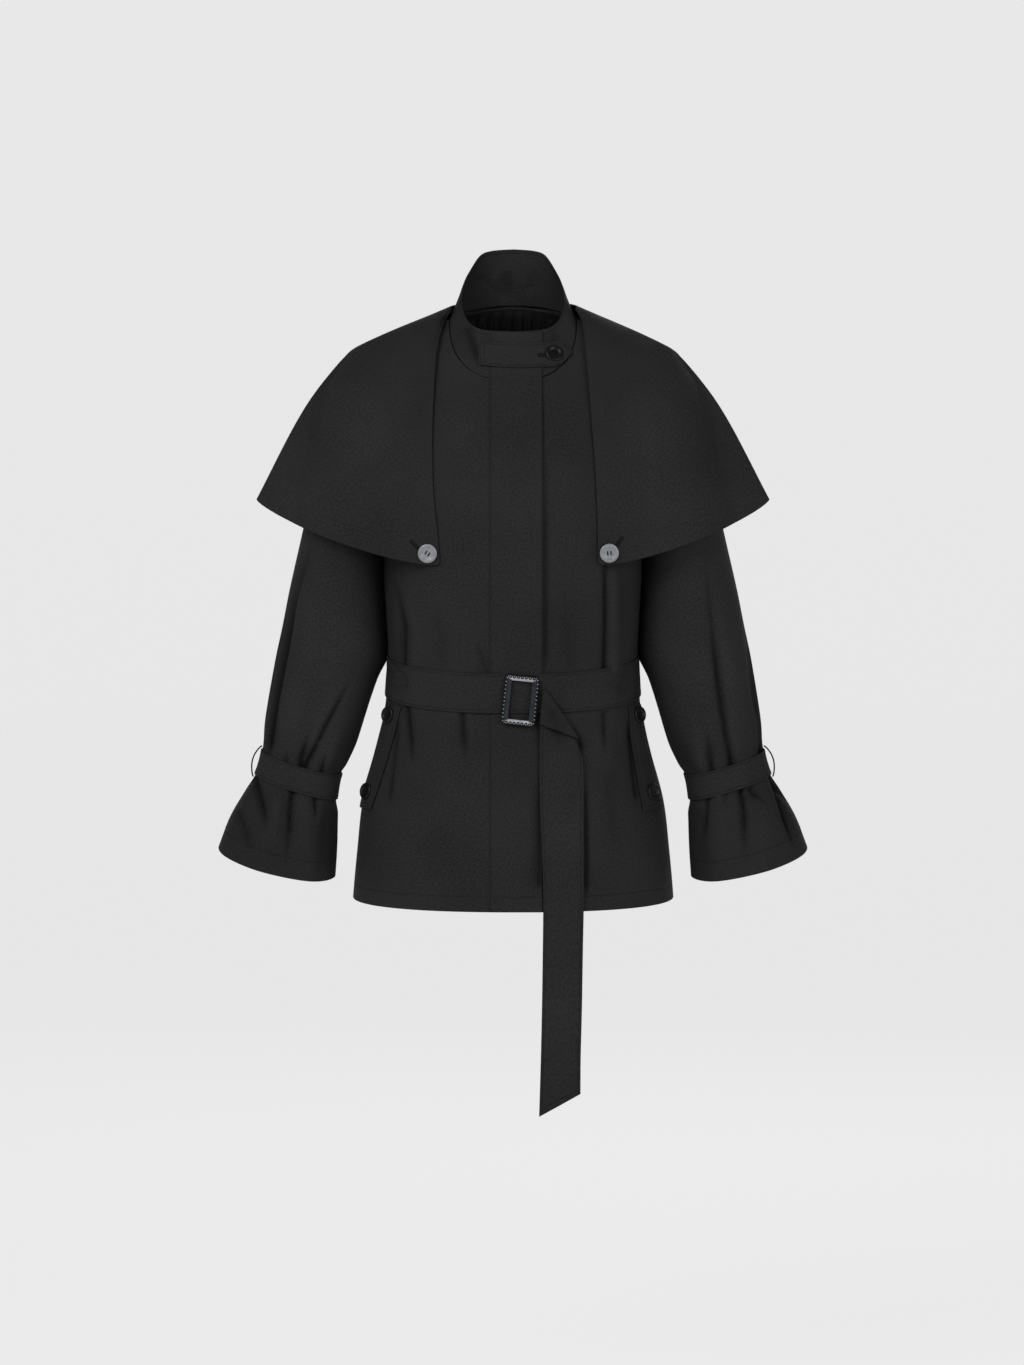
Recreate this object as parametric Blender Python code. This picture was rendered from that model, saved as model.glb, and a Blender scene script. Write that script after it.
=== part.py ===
"""Cape trench coat, a hollow cloth form that is filled out as if worn.

+X is the wearer's left, -Y the front and +Z up. The origin is the middle of the neck at the height
of the shoulders, where the wearer carries the coat. Sizes are in millimetres and angles in degrees;
MM turns the sizes into metres where a mesh is made. On every ring an angle of 0 is the front, 90 the
wearer's left and 180 the back.
"""
import math
from bisect import bisect
from collections import namedtuple

import bmesh
import bpy
from mathutils import Matrix, Vector

MM = 0.001

# Cloth and seams
CLOTH = 1.5
LINING = 1.0
SEAM = 0.35
LAY = 0.7
LAYER = LAY + CLOTH
SHARP_EDGE = 40

# Body of the coat: rings from hem to neck, squarer than an ellipse
BodyRing = namedtuple("BodyRing", "z half_width front back")
BODY = (
    BodyRing(-740, 196.5, 129, 133),
    BodyRing(-722, 196, 128, 132),
    BodyRing(-665, 191, 125, 129),
    BodyRing(-604, 184, 120, 125),
    BodyRing(-543, 168, 112, 117),
    BodyRing(-490, 156, 104, 108),
    BodyRing(-452, 153, 101, 103),
    BodyRing(-420, 152, 102, 103),
    BodyRing(-380, 154, 107, 105),
    BodyRing(-320, 157.5, 113, 109),
    BodyRing(-260, 157, 117, 113),
    BodyRing(-205, 156, 114, 116),
    BodyRing(-150, 164, 97, 115),
    BodyRing(-95, 177, 72, 108),
    BodyRing(-58, 182, 53, 99),
    BodyRing(-44, 154, 45, 94),
    BodyRing(-30, 119, 36, 88),
    BodyRing(-16, 78, 24, 80),
    BodyRing(-4, 68, 18, 75),
)
BODY_POWER = 2 / 2.3
HEM_DROP = 8
BODY_LEVELS = (-722, -690, -645, -600, -560, -520, -486, -456, -426, -410, -370, -315, -260, -205)

FRONT_COLUMNS = 10
BACK_KNEE = 0.45
BACK_INNER_COLUMNS = 4
BACK_OUTER_COLUMNS = 6

# Soft folds that the belt and the cut leave in the body, near and far from the belt's middle
BodyFold = namedtuple("BodyFold", "angle lean near far width height")
BODY_FOLDS = (
    BodyFold(46, 0, 34, 165, 8, 4.5),
    BodyFold(-60, 7, 34, 140, 9, 4.0),
    BodyFold(-19, 0, -42, -90, 8, 2.5),
    BodyFold(-42, -2, -42, -112, 7, 3.5),
    BodyFold(40, 2, -42, -98, 7, 3.0),
    BodyFold(118, 3, 34, 122, 9, 4.5),
    BodyFold(152, -2, 34, 98, 8, 4.0),
    BodyFold(-131, 2, 34, 114, 9, 5.0),
    BodyFold(-163, 0, 34, 82, 8, 3.5),
    BodyFold(127, -3, -42, -116, 9, 4.5),
    BodyFold(163, 1, -42, -92, 8, 3.5),
    BodyFold(-122, 3, -42, -126, 9, 4.0),
    BodyFold(-150, -2, -42, -102, 8, 4.5),
)
FOLD_ENDS = 3

# Neckline and armholes
NECK_HALF_WIDTH = 78
NECK_FRONT_Z = -90
NECK_SIDE_Z = -16
NECK_BACK_Z = -4
NECK_POWER = 0.8
ARMHOLE_Z = -131.5
ARMHOLE_HALF_HEIGHT = 73.5
ARMHOLE_HALF_DEPTH = 60
ARMHOLE_STEPS = 12
NECKLINE_START = 5

# Collar: its rim, by angle from the front
RimPlace = namedtuple("RimPlace", "angle z")
COLLAR_RIM = (
    RimPlace(0, -31),
    RimPlace(40, -28),
    RimPlace(60, -19),
    RimPlace(75, -6),
    RimPlace(90, 9),
    RimPlace(106, 24),
    RimPlace(124, 41),
    RimPlace(141, 59),
    RimPlace(155, 64),
    RimPlace(180, 66),
)
RIM_HALF_WIDTH = 63
RIM_FRONT = 50
RIM_BACK = 66
COLLAR_SEAM = 1.4
COLLAR_RISE = 0.8
COLLAR_COLUMNS = 40
COLLAR_ROWS = 4

# Placket, throat tab and the lining behind the neck
PLACKET_LEFT_EDGE = -29
PLACKET_FREE_EDGE = 35
PLACKET_MIDDLE = 3
PLACKET_COLUMNS = 6
PLACKET_COLLAR_ROWS = 5
PLACKET_SEAM_STEP = 4
PLACKET_RIM_STEP = 0.5
TAB_START = -41
TAB_POINT = 71
TAB_POINT_LENGTH = 14
TAB_POINT_TAPER = 0.9
TAB_COLUMNS = 14
TAB_ROWS = 3
TAB_TOP = -43
TAB_HEIGHT = 29
TAB_SAG = 3
TAB_MARGIN = 26
LINING_HALF_WIDTH = 66
LINING_DEPTH = 56
LINING_DROP = 4
LINING_ROWS = 2
LINING_GAP = 2.1
LINING_GATHERS = 10
LINING_GATHER_DEPTH = 2.2
LINING_GATHER_START = 4

# Cape: front edges, shoulder ridge and lower edge, by share of the way down
CapeEdge = namedtuple("CapeEdge", "share right_x left_x z")
CAPE_EDGE = (
    CapeEdge(0, 84, 84, -6),
    CapeEdge(0.15, 92, 88, -50),
    CapeEdge(0.45, 97, 95, -140),
    CapeEdge(0.7, 96, 100, -217),
    CapeEdge(0.87, 91, 102, -270),
    CapeEdge(1, 88, 102, -309),
)
CapeRidge = namedtuple("CapeRidge", "share x z")
CAPE_RIDGE = (
    CapeRidge(0, 76.5, -3),
    CapeRidge(0.34, 187, -51),
    CapeRidge(0.435, 212, -72),
    CapeRidge(0.643, 255, -129),
    CapeRidge(1, 312, -237),
)
CAPE_LEVELS = (0, 0.07, 0.15, 0.24, 0.34, 0.435, 0.54, 0.65, 0.77, 0.89, 1)
CAPE_FRONT_COLUMNS = 12
CAPE_BACK_COLUMNS = 10
CAPE_SAG = 16
CAPE_SAG_ROUND = 0.6
CAPE_CLEAR = 0.8
CAPE_SHOULDER_CLEAR = 7.5
CAPE_CLEAR_FALL = 1.4
CAPE_NECK_DEPTH = 10
CAPE_SOFTNESS = 18
SLEEVE_MARGIN = 14
CAPE_BACK_TOP = 3
CAPE_BACK_BOTTOM = -330
CapeFall = namedtuple("CapeFall", "inner outer")
CAPE_NECK_FALL = CapeFall(2.3, 0.43)
CAPE_LOWER_FALL = CapeFall(1.7, 1)
CAPE_CREASE_START = 2.5

# Sleeves: rings from armhole to cuff, by distance down the sleeve
SleeveRing = namedtuple("SleeveRing", "reach outer_x outer_z inner_x inner_z depth back_shift front_drop")
SLEEVE = (
    SleeveRing(0, 182, -58, 156, -205, 60, 0, 0),
    SleeveRing(40, 207, -92, 158.5, -226, 63, 3, 0),
    SleeveRing(90, 225, -138, 159, -248, 65, 6, 0),
    SleeveRing(150, 240, -197, 159.5, -278, 65, 10, 0),
    SleeveRing(225, 255, -270, 159.5, -322, 63, 13, 1),
    SleeveRing(305, 272.5, -348, 156, -388, 60, 14, 3),
    SleeveRing(345, 281, -391, 154.5, -424, 58, 13, 4),
    SleeveRing(390, 290, -433, 167, -462, 55, 11, 5),
    SleeveRing(460, 302, -506, 191, -532, 47, 6, 5),
    SleeveRing(500, 305, -541, 209.5, -570, 39, 3, 4),
    SleeveRing(537, 314, -573, 216, -603, 39, 2, 5),
    SleeveRing(560, 327, -594, 217.5, -626, 45, 1, 8),
    SleeveRing(595, 346, -626, 218, -661, 51, 0, 11),
    SleeveRing(632, 360, -662, 218.5, -696, 55, 0, 13),
)
SLEEVE_POWER = 0.92
SLEEVE_SEAM = 0.6
SHOULDER_BLEND = 120
SLEEVE_SIDES = 24
SLEEVE_LEVELS = (0, 25, 60, 105, 165, 240, 310, 375, 430, 468, 487, 501, 519, 537, 550, 567, 598, 632)
SLEEVE_BULK = 66
SLEEVE_HALF_WIDTH = 62
SLEEVE_BACK_SHIFT = 14
STRAP_TOP = 502
STRAP_BOTTOM = 536
STRAP_ROWS = 2

# Gathers above and below the wrist strap, by angle round the sleeve
Gather = namedtuple("Gather", "angle width above below")
GATHERS = (
    Gather(-88, 13, 3.0, 4.0),
    Gather(-32, 14, 5.0, 5.0),
    Gather(14, 13, 4.0, 6.0),
    Gather(62, 14, 5.5, 2.0),
    Gather(118, 13, 4.0, 2.5),
    Gather(165, 14, 5.0, 5.5),
    Gather(-140, 14, 4.5, 4.5),
)
GATHER_REACH_ABOVE = 95
GATHER_REACH_BELOW = 110
GATHER_RISE_ABOVE = 14
GATHER_RISE_BELOW = 18
GATHER_AT_HEM = 0.3

# Thread loops that carry the wrist straps
CARRIER_RADIUS = 0.9
CARRIER_OVERRUN = 5
CARRIER_STAND_OFF = 8
CARRIER_POINTS = 9
CARRIER_ROUND = 0.7

# Belt, its hanging end and the buckle
BELT_HEIGHT = 48
BELT_SIDE_Z = -450
BELT_FRONT_DROP = 17
BELT_BACK_RISE = 6
BELT_MARGIN = 16
BELT_SIDES = 64
BELT_ROWS = 2
TailRow = namedtuple("TailRow", "left_x left_z right_x right_z lift")
TAIL = (
    TailRow(36.8, -461, 32.2, -503, 7.3),
    TailRow(38.0, -462, 55, -512, 8.5),
    TailRow(39.5, -464, 76, -520, 8.4),
    TailRow(41.0, -464.5, 78, -521.5, 6.9),
    TailRow(40.0, -466, 77, -523, 5.3),
    TailRow(37.0, -482, 80, -533, 5.3),
    TailRow(33.0, -512, 84, -546, 5.3),
    TailRow(32.0, -552, 85.5, -566, 3.8),
    TailRow(33.0, -606, 85.5, -608, 3.2),
    TailRow(35.5, -664, 85.5, -662, 3.2),
    TailRow(36.5, -722, 85.5, -720, 3.2),
    TailRow(36.0, -780, 84.5, -778, 3.2),
    TailRow(35.0, -850, 83.5, -846, 3.2),
    TailRow(33.5, -916, 82, -908, 3.2),
    TailRow(31.7, -978, 81.7, -951, 3.2),
)
TAIL_COLUMNS = 4
BUCKLE_WIDTH = 43.5
BUCKLE_HEIGHT = 62
BUCKLE_SIDE_BAR = 8.4
BUCKLE_END_BAR = 6
BUCKLE_DEPTH = 4
BUCKLE_CORNER = 6
BUCKLE_ROUND = 1.2
BUCKLE_X = 8.7
BUCKLE_Z = -475
BUCKLE_TURN = 6
BUCKLE_CLEAR = 1.8
BUCKLE_CORNER_STEPS = 4

# Pocket welts: inner edge by height on each side
WeltRow = namedtuple("WeltRow", "z right_x left_x")
WELT = (
    WeltRow(-612, 172, 157),
    WeltRow(-560, 155, 149),
    WeltRow(-520, 144, 143),
    WeltRow(-486, 135, 139),
)
WELT_ARC = 20
WELT_COLUMNS = 4
WELT_ROWS = 6

# Buttons: a turned profile, by share of the radius
ButtonRing = namedtuple("ButtonRing", "radius height")
BUTTON_PROFILE = (
    ButtonRing(0.55, 2.0),
    ButtonRing(0.72, 3.0),
    ButtonRing(0.90, 3.0),
    ButtonRing(1.00, 2.0),
    ButtonRing(0.90, 0.0),
)
BUTTON_SIDES = 16
CAPE_BUTTON = 23
CAPE_BUTTON_INSET = 14
CAPE_BUTTON_RISE = 0.045
THROAT_BUTTON = 21
THROAT_BUTTON_X = 49
POCKET_BUTTON = 20
POCKET_BUTTON_HEIGHTS = {"upper": -497.5, "lower": -591}

# Colour, roughness and metallic value of each finish
Finish = namedtuple("Finish", "colour roughness metallic")
FINISHES = {
    "cloth": Finish((0.021, 0.021, 0.022), 0.72, 0.0),
    "lining": Finish((0.009, 0.009, 0.010), 0.5, 0.0),
    "black_button": Finish((0.008, 0.008, 0.009), 0.22, 0.0),
    "grey_button": Finish((0.23, 0.23, 0.24), 0.3, 0.0),
    "buckle_black": Finish((0.010, 0.010, 0.012), 0.25, 0.0),
    "thread": Finish((0.012, 0.012, 0.013), 0.7, 0.0),
}


def smooth(rows, column, place):
    """One column of a table at a place along its first column, on a smooth curve through its rows."""
    keys = [row[0] for row in rows]
    values = [getattr(row, column) for row in rows]
    last = len(rows) - 1

    def slope(i):
        before = max(i - 1, 0)
        after = min(i + 1, last)
        return (values[after] - values[before]) / (keys[after] - keys[before])

    if place <= keys[0]:
        return values[0] + slope(0) * (place - keys[0])
    if place >= keys[last]:
        return values[last] + slope(last) * (place - keys[last])
    i = bisect(keys, place) - 1
    span = keys[i + 1] - keys[i]
    t = (place - keys[i]) / span
    rise = values[i + 1] - values[i]
    start = slope(i) * span - rise
    end = rise - slope(i + 1) * span
    return values[i] + rise * t + t * (1 - t) * (start * (1 - t) + end * t)


def mix(a, b, t):
    return a + (b - a) * t


def power(value, exponent):
    """A power that keeps the sign."""
    return math.copysign(abs(value) ** exponent, value)


def ease(t):
    """Soft step from 0 to 1."""
    t = min(max(t, 0), 1)
    return t * t * (3 - 2 * t)


def bump(distance, width):
    """Soft hump, 1 in the middle and nearly 0 at two widths."""
    return math.exp(-((distance / width) ** 2))


def turn_between(a, b):
    """Smallest angle from b to a."""
    return (a - b + 180) % 360 - 180


def moved_out(surface, a, b, out, step_a, step_b):
    """Point of a surface, moved out along its normal."""
    point = surface(a, b)
    if out == 0:
        return point
    along_a = surface(a + step_a, b) - surface(a - step_a, b)
    along_b = surface(a, b + step_b) - surface(a, b - step_b)
    return point + along_a.cross(along_b).normalized() * out


def body_fold(angle, z):
    """Height of the body's folds at a place."""
    height = 0
    for fold in BODY_FOLDS:
        t = (z - belt_middle(angle) - fold.near) / (fold.far - fold.near)
        if 0 < t < 1:
            middle = fold.angle + fold.lean * (t - 0.5) * 2
            window = ease(t * FOLD_ENDS) * ease((1 - t) * FOLD_ENDS)
            height += fold.height * window * bump(turn_between(angle, middle), fold.width)
    return height


def body_surface(angle, z):
    turn = math.radians(angle)
    side = "front" if math.cos(turn) > 0 else "back"
    x = smooth(BODY, "half_width", z) * power(math.sin(turn), BODY_POWER)
    y = -smooth(BODY, side, z) * power(math.cos(turn), BODY_POWER)
    fold = body_fold(angle, z)
    stretch = 1 + fold / math.hypot(x, y)
    return Vector((x * stretch, y * stretch, z))


def body_point(angle, z, out=0):
    return moved_out(body_surface, angle, z, out, 0.6, 0.5)


def angle_at_x(x, z):
    """Angle on the front half of the body where it is this wide."""
    share = min(max(x / smooth(BODY, "half_width", z), -1), 1)
    return math.degrees(math.asin(power(share, 1 / BODY_POWER)))


def angle_at_y(y, z):
    """Angle on the wearer's left of the body where it is this deep."""
    depth = smooth(BODY, "front" if y < 0 else "back", z)
    return math.degrees(math.acos(power(min(max(-y / depth, -1), 1), 1 / BODY_POWER)))


def body_depth(x, z, side):
    """How far the body's front or back reaches at a place seen from the front."""
    share = abs(x) / smooth(BODY, "half_width", z)
    if share >= 1:
        return 0
    return smooth(BODY, side, z) * (1 - share ** (2 / BODY_POWER)) ** (BODY_POWER / 2)


def neckline_z(angle):
    turn = math.radians(angle)
    if math.cos(turn) > 0:
        return NECK_SIDE_Z + (NECK_FRONT_Z - NECK_SIDE_Z) * math.cos(turn) ** NECK_POWER
    return NECK_SIDE_Z + (NECK_BACK_Z - NECK_SIDE_Z) * math.cos(turn) ** 2


def neckline_x(angle):
    turn = math.radians(angle)
    exponent = NECK_POWER if math.cos(turn) > 0 else BODY_POWER
    return NECK_HALF_WIDTH * power(math.sin(turn), exponent)


def neckline_body_angle(angle):
    """Angle on the body of the neckline's place at an angle round the neck."""
    front_angle = angle_at_x(neckline_x(angle), neckline_z(angle))
    if math.cos(math.radians(angle)) > 0:
        return front_angle
    return math.copysign(180, angle) - front_angle


def armhole(step):
    """Depth and height of the armhole's edge, from the underarm (0) to the shoulder."""
    turn = math.pi * step / ARMHOLE_STEPS
    depth = max(ARMHOLE_HALF_DEPTH * math.sin(turn), SEAM)
    return depth, ARMHOLE_Z - ARMHOLE_HALF_HEIGHT * math.cos(turn)


def front_rows(side):
    """Ends of each row of a front, middle and side, as angle and height, from hem to shoulder."""
    split = PLACKET_MIDDLE + side * SEAM
    rows = []
    for z in BODY_LEVELS:
        share = (z - BODY_LEVELS[-1]) / (BODY_LEVELS[0] - BODY_LEVELS[-1])
        middle_z = z - HEM_DROP * share
        middle = (angle_at_x(split, middle_z), middle_z)
        rows.append((middle, (side * angle_at_y(-SEAM, z), z)))
    for step in range(1, ARMHOLE_STEPS + 1):
        depth, side_z = armhole(step)
        outer = (side * angle_at_y(-depth, side_z), side_z)
        if step <= NECKLINE_START:
            middle_z = mix(BODY_LEVELS[-1], NECK_FRONT_Z, step / NECKLINE_START)
            inner = (angle_at_x(split, middle_z), middle_z)
        else:
            around = 90 * (step - NECKLINE_START) / (ARMHOLE_STEPS - NECKLINE_START)
            z = neckline_z(around)
            if step == ARMHOLE_STEPS:
                inner = (side * angle_at_y(-SEAM, z), z)
            else:
                share = neckline_x(around) / NECK_HALF_WIDTH
                inner = (angle_at_x(mix(split, side * NECK_HALF_WIDTH, share), z), z)
        rows.append((inner, outer))
    return rows


def back_rows():
    """Middle, knee and side of each row of the back's left half, from hem to shoulder."""
    rows = []
    for z in BODY_LEVELS:
        side = (angle_at_y(SEAM, z), z)
        knee = (mix(180, side[0], BACK_KNEE), z)
        rows.append(((180, z), knee, side))
    start = rows[-1]
    for step in range(1, ARMHOLE_STEPS + 1):
        share = step / ARMHOLE_STEPS
        depth, side_z = armhole(step)
        neck_corner = angle_at_y(SEAM, NECK_SIDE_Z)
        middle = (180, mix(start[0][1], NECK_BACK_Z, share))
        knee = (mix(start[1][0], neck_corner, share), mix(start[1][1], NECK_SIDE_Z, share))
        rows.append((middle, knee, (angle_at_y(depth, side_z), side_z)))
    return rows


def collar_surface(angle, height):
    """Place on the collar; height runs from 0 at the seam to 1 at the rim."""
    seam = body_surface(neckline_body_angle(angle), neckline_z(angle))
    inset = 1 - COLLAR_SEAM / NECK_HALF_WIDTH
    base = Vector((seam.x * inset, seam.y * inset, seam.z + COLLAR_RISE))
    turn = math.radians(angle)
    depth = RIM_FRONT if math.cos(turn) > 0 else RIM_BACK
    rim_z = smooth(COLLAR_RIM, "z", abs(turn_between(angle, 0)))
    rim = Vector((RIM_HALF_WIDTH * math.sin(turn), -depth * math.cos(turn), rim_z))
    return base.lerp(rim, height)


def collar_point(angle, height, out=0):
    return moved_out(collar_surface, angle, height, out, 1, 0.01)


def coat_front_surface(x, z):
    """Coat front as a depth over the front view: the front below the neckline, the collar above it."""
    low, high = 0, 89
    for _ in range(40):
        angle = (low + high) / 2
        base = collar_surface(angle, 0)
        rim = collar_surface(angle, 1)
        height = (z - base.z) / (rim.z - base.z)
        place = base.lerp(rim, height)
        if place.x < abs(x):
            low = angle
        else:
            high = angle
    y = place.y if height > 0 else -body_depth(x, z, "front")
    return Vector((x, y, z))


def coat_front_point(x, z, out=0):
    return moved_out(coat_front_surface, x, z, out, 0.5, 0.5)


def placket_lift(x, margin):
    """How far the placket lifts what lies over it, with a margin beside its edges and a ramp as wide."""
    beside = max(PLACKET_LEFT_EDGE - x, x - PLACKET_FREE_EDGE)
    return LAYER * ease(2 - beside / margin)


def sleeve_gather(angle, reach):
    """Height of the gathers round the wrist strap."""
    up = STRAP_TOP - reach
    down = reach - STRAP_BOTTOM
    above = ease(1 - up / GATHER_REACH_ABOVE) * ease(up / GATHER_RISE_ABOVE)
    below = ease(1 + GATHER_AT_HEM - down / GATHER_REACH_BELOW) * ease(down / GATHER_RISE_BELOW)
    height = 0
    for gather in GATHERS:
        across = bump(turn_between(angle, gather.angle), gather.width)
        height += across * (gather.above * above + gather.below * below)
    return height


def armhole_loop(angle):
    """Sleeve's own edge at the armhole, by angle round the sleeve."""
    turn = math.radians(angle)
    y = -ARMHOLE_HALF_DEPTH * math.cos(turn)
    z = ARMHOLE_Z + ARMHOLE_HALF_HEIGHT * math.sin(turn)
    edge = body_surface(angle_at_y(y, z), z)
    return Vector((edge.x + SLEEVE_SEAM, y, z))


def sleeve_ring(angle, reach):
    turn = math.radians(angle)
    ring = {column: smooth(SLEEVE, column, reach) for column in SleeveRing._fields[1:]}
    outer = Vector((ring["outer_x"], ring["back_shift"], ring["outer_z"]))
    inner = Vector((ring["inner_x"], ring["back_shift"], ring["inner_z"]))
    across = (outer - inner) / 2 * power(math.sin(turn), SLEEVE_POWER)
    forward = Vector((0, -ring["depth"], 0)) * power(math.cos(turn), SLEEVE_POWER)
    drop = Vector((0, 0, -ring["front_drop"] * math.cos(turn)))
    outward = (across + forward).normalized()
    return (outer + inner) / 2 + across + forward + drop + outward * sleeve_gather(angle, reach)


def sleeve_surface(angle, reach):
    """Place on the wearer's left sleeve; an angle of 90 is its outer side."""
    point = sleeve_ring(angle, reach)
    if reach < SHOULDER_BLEND:
        fade = (1 - reach / SHOULDER_BLEND) ** 2
        point = point + (armhole_loop(angle) - sleeve_ring(angle, 0)) * fade
    return point


def sleeve_point(angle, reach, out=0):
    return moved_out(sleeve_surface, angle, reach, -out, 1, 0.5)


def sleeve_outer_x(z):
    """Outer edge of the sleeve at a height."""
    heights = [ring.outer_z for ring in reversed(SLEEVE)]
    edges = [ring.outer_x for ring in reversed(SLEEVE)]
    i = min(max(bisect(heights, z) - 1, 0), len(heights) - 2)
    return mix(edges[i], edges[i + 1], (z - heights[i]) / (heights[i + 1] - heights[i]))


def sleeve_depth(x, z, side):
    """How far cloth over the sleeve's front or back has to reach at a place seen from the front.

    It is level from the body to the sleeve's middle and rounds off to the sleeve's outer edge and top.
    """
    outer = sleeve_outer_x(z) + SLEEVE_MARGIN
    beyond = max(abs(x) - outer + SLEEVE_HALF_WIDTH, 0) / SLEEVE_HALF_WIDTH
    over = max(z - ARMHOLE_Z, 0) / (ARMHOLE_HALF_HEIGHT + SLEEVE_MARGIN)
    if beyond >= 1 or over >= 1:
        return 0
    shift = SLEEVE_BACK_SHIFT if side == "back" else 0
    return (SLEEVE_BULK + shift) * math.sqrt((1 - beyond ** 2) * (1 - over ** 2))


def cape_clear(share, side):
    """Gap between the cape and the coat: wider on the shoulder and at the back."""
    if side == "back":
        return CAPE_SHOULDER_CLEAR
    return mix(CAPE_SHOULDER_CLEAR, CAPE_CLEAR, ease(share * CAPE_CLEAR_FALL))


def cape_depth(x, z, side, profile, clear, across):
    """Depth of the cape's inner face: its own profile, kept clear of the coat and the sleeve."""
    over_body = body_depth(x, z, side)
    over_sleeve = sleeve_depth(x, z, side)
    soft = CAPE_SOFTNESS * 4 * across * (1 - across)
    draped = (profile + over_sleeve + math.hypot(profile - over_sleeve, soft)) / 2
    return max(draped, over_body + clear if over_body else 0, SEAM)


def cape_profile(across, share):
    """Fall of the cape's depth from its middle (0) to the ridge (1): round at the neck, creased below."""
    crease = ease(share * CAPE_CREASE_START)
    inner, outer = (mix(neck, lower, crease) for neck, lower in zip(CAPE_NECK_FALL, CAPE_LOWER_FALL))
    return max(1 - across ** inner, 0) ** outer


def cape_front_surface(across, share, edge_column):
    """Place on a cape front of the wearer's left; across runs from the front edge to the ridge."""
    edge_x = smooth(CAPE_EDGE, edge_column, share)
    edge_z = smooth(CAPE_EDGE, "z", share)
    ridge_x = smooth(CAPE_RIDGE, "x", share)
    ridge_z = smooth(CAPE_RIDGE, "z", share)
    sag = CAPE_SAG * share ** 2 * max(4 * across * (1 - across), 0) ** CAPE_SAG_ROUND
    x = mix(edge_x, ridge_x, across)
    z = mix(edge_z, ridge_z, across) - sag
    clear = cape_clear(share, "front")
    edge_depth = max(body_depth(edge_x, edge_z, "front") + clear, CAPE_NECK_DEPTH)
    profile = edge_depth * cape_profile(max(across, 0), share)
    depth = cape_depth(x, z, "front", profile, clear, across)
    return Vector((x, -depth, z))


def cape_front_point(across, share, out, side):
    column = "left_x" if side > 0 else "right_x"

    def surface(a, b):
        return cape_front_surface(a, b, column)

    point = moved_out(surface, across, share, -out, 0.01, 0.01)
    if across == 1:
        point.y = -SEAM
    return Vector((side * point.x, point.y, point.z))


def cape_back_surface(across, share):
    """Place on the cape's back; across runs from ridge (-1) over the middle (0) to ridge (1)."""
    ridge_x = smooth(CAPE_RIDGE, "x", share)
    ridge_z = smooth(CAPE_RIDGE, "z", share)
    middle_z = mix(CAPE_BACK_TOP, CAPE_BACK_BOTTOM, share)
    x = ridge_x * across
    z = mix(ridge_z, middle_z, max(1 - across * across, 0))
    clear = cape_clear(share, "back")
    middle_depth = body_depth(0, middle_z, "back") + clear
    profile = middle_depth * cape_profile(abs(across), share)
    depth = cape_depth(x, z, "back", profile, clear, abs(across))
    return Vector((x, depth, z))


def cape_back_point(across, share, out):
    point = moved_out(cape_back_surface, across, share, out, 0.01, 0.01)
    if abs(across) == 1:
        point.y = SEAM
    return point


def belt_middle(angle):
    lean = math.cos(math.radians(angle))
    return BELT_SIDE_Z - (BELT_FRONT_DROP if lean > 0 else BELT_BACK_RISE) * lean


def welt_angle(z, column):
    """Angle of a welt's inner edge."""
    return angle_at_x(smooth(WELT, column, z), z)


def material(name):
    """Principled finish, made once."""
    existing = bpy.data.materials.get(name)
    if existing:
        return existing
    finish = FINISHES[name]
    made = bpy.data.materials.new(name)
    made.use_nodes = True
    shader = made.node_tree.nodes["Principled BSDF"]
    shader.inputs["Base Color"].default_value = (*finish.colour, 1)
    shader.inputs["Roughness"].default_value = finish.roughness
    shader.inputs["Metallic"].default_value = finish.metallic
    return made


def add_object(name, mesh_bm, finish):
    """Closed mesh as a named object, faces out, in metres."""
    bmesh.ops.scale(mesh_bm, vec=(MM, MM, MM), verts=mesh_bm.verts)
    bmesh.ops.recalc_face_normals(mesh_bm, faces=mesh_bm.faces)
    mesh = bpy.data.meshes.new(name)
    mesh_bm.to_mesh(mesh)
    mesh_bm.free()
    mesh.shade_smooth()
    mesh.set_sharp_from_angle(angle=math.radians(SHARP_EDGE))
    mesh.materials.append(material(finish))
    made = bpy.data.objects.new(name, mesh)
    bpy.context.scene.collection.objects.link(made)
    return made


def add_wall(name, point, rows, columns, lift=0.0, thickness=CLOTH, closed=False, finish="cloth"):
    """Cloth wall: an inner and an outer skin over the same places, and the edge that joins them.

    point(column, row, out) gives a place; a closed wall runs all the way round its columns.
    """
    mesh_bm = bmesh.new()
    skins = []
    for out in (lift, lift + thickness):
        skins.append([[mesh_bm.verts.new(point(c, r, out)) for c in columns] for r in rows])
    inner, outer = skins
    count = len(columns)
    spans = [(i, (i + 1) % count) for i in range(count if closed else count - 1)]
    for skin in skins:
        for low, high in zip(skin, skin[1:]):
            for i, k in spans:
                mesh_bm.faces.new((low[i], low[k], high[k], high[i]))
    for row in (0, -1):
        for i, k in spans:
            mesh_bm.faces.new((inner[row][i], inner[row][k], outer[row][k], outer[row][i]))
    if not closed:
        for column in (0, -1):
            for r in range(len(inner) - 1):
                corners = (inner[r], inner[r + 1], outer[r + 1], outer[r])
                mesh_bm.faces.new([line[column] for line in corners])
    return add_object(name, mesh_bm, finish)


def shares(count):
    return [i / count for i in range(count + 1)]


def add_fronts():
    for name, side in (("front_right", -1), ("front_left", 1)):
        rows = front_rows(side)

        def point(across, row, out):
            (inner_angle, inner_z), (outer_angle, outer_z) = row
            angle = mix(inner_angle, outer_angle, across)
            rise = across ** 2 if inner_z < outer_z else across
            return body_point(angle, mix(inner_z, outer_z, rise), out)

        add_wall(name, point, rows, shares(FRONT_COLUMNS), lift=-CLOTH)


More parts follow.
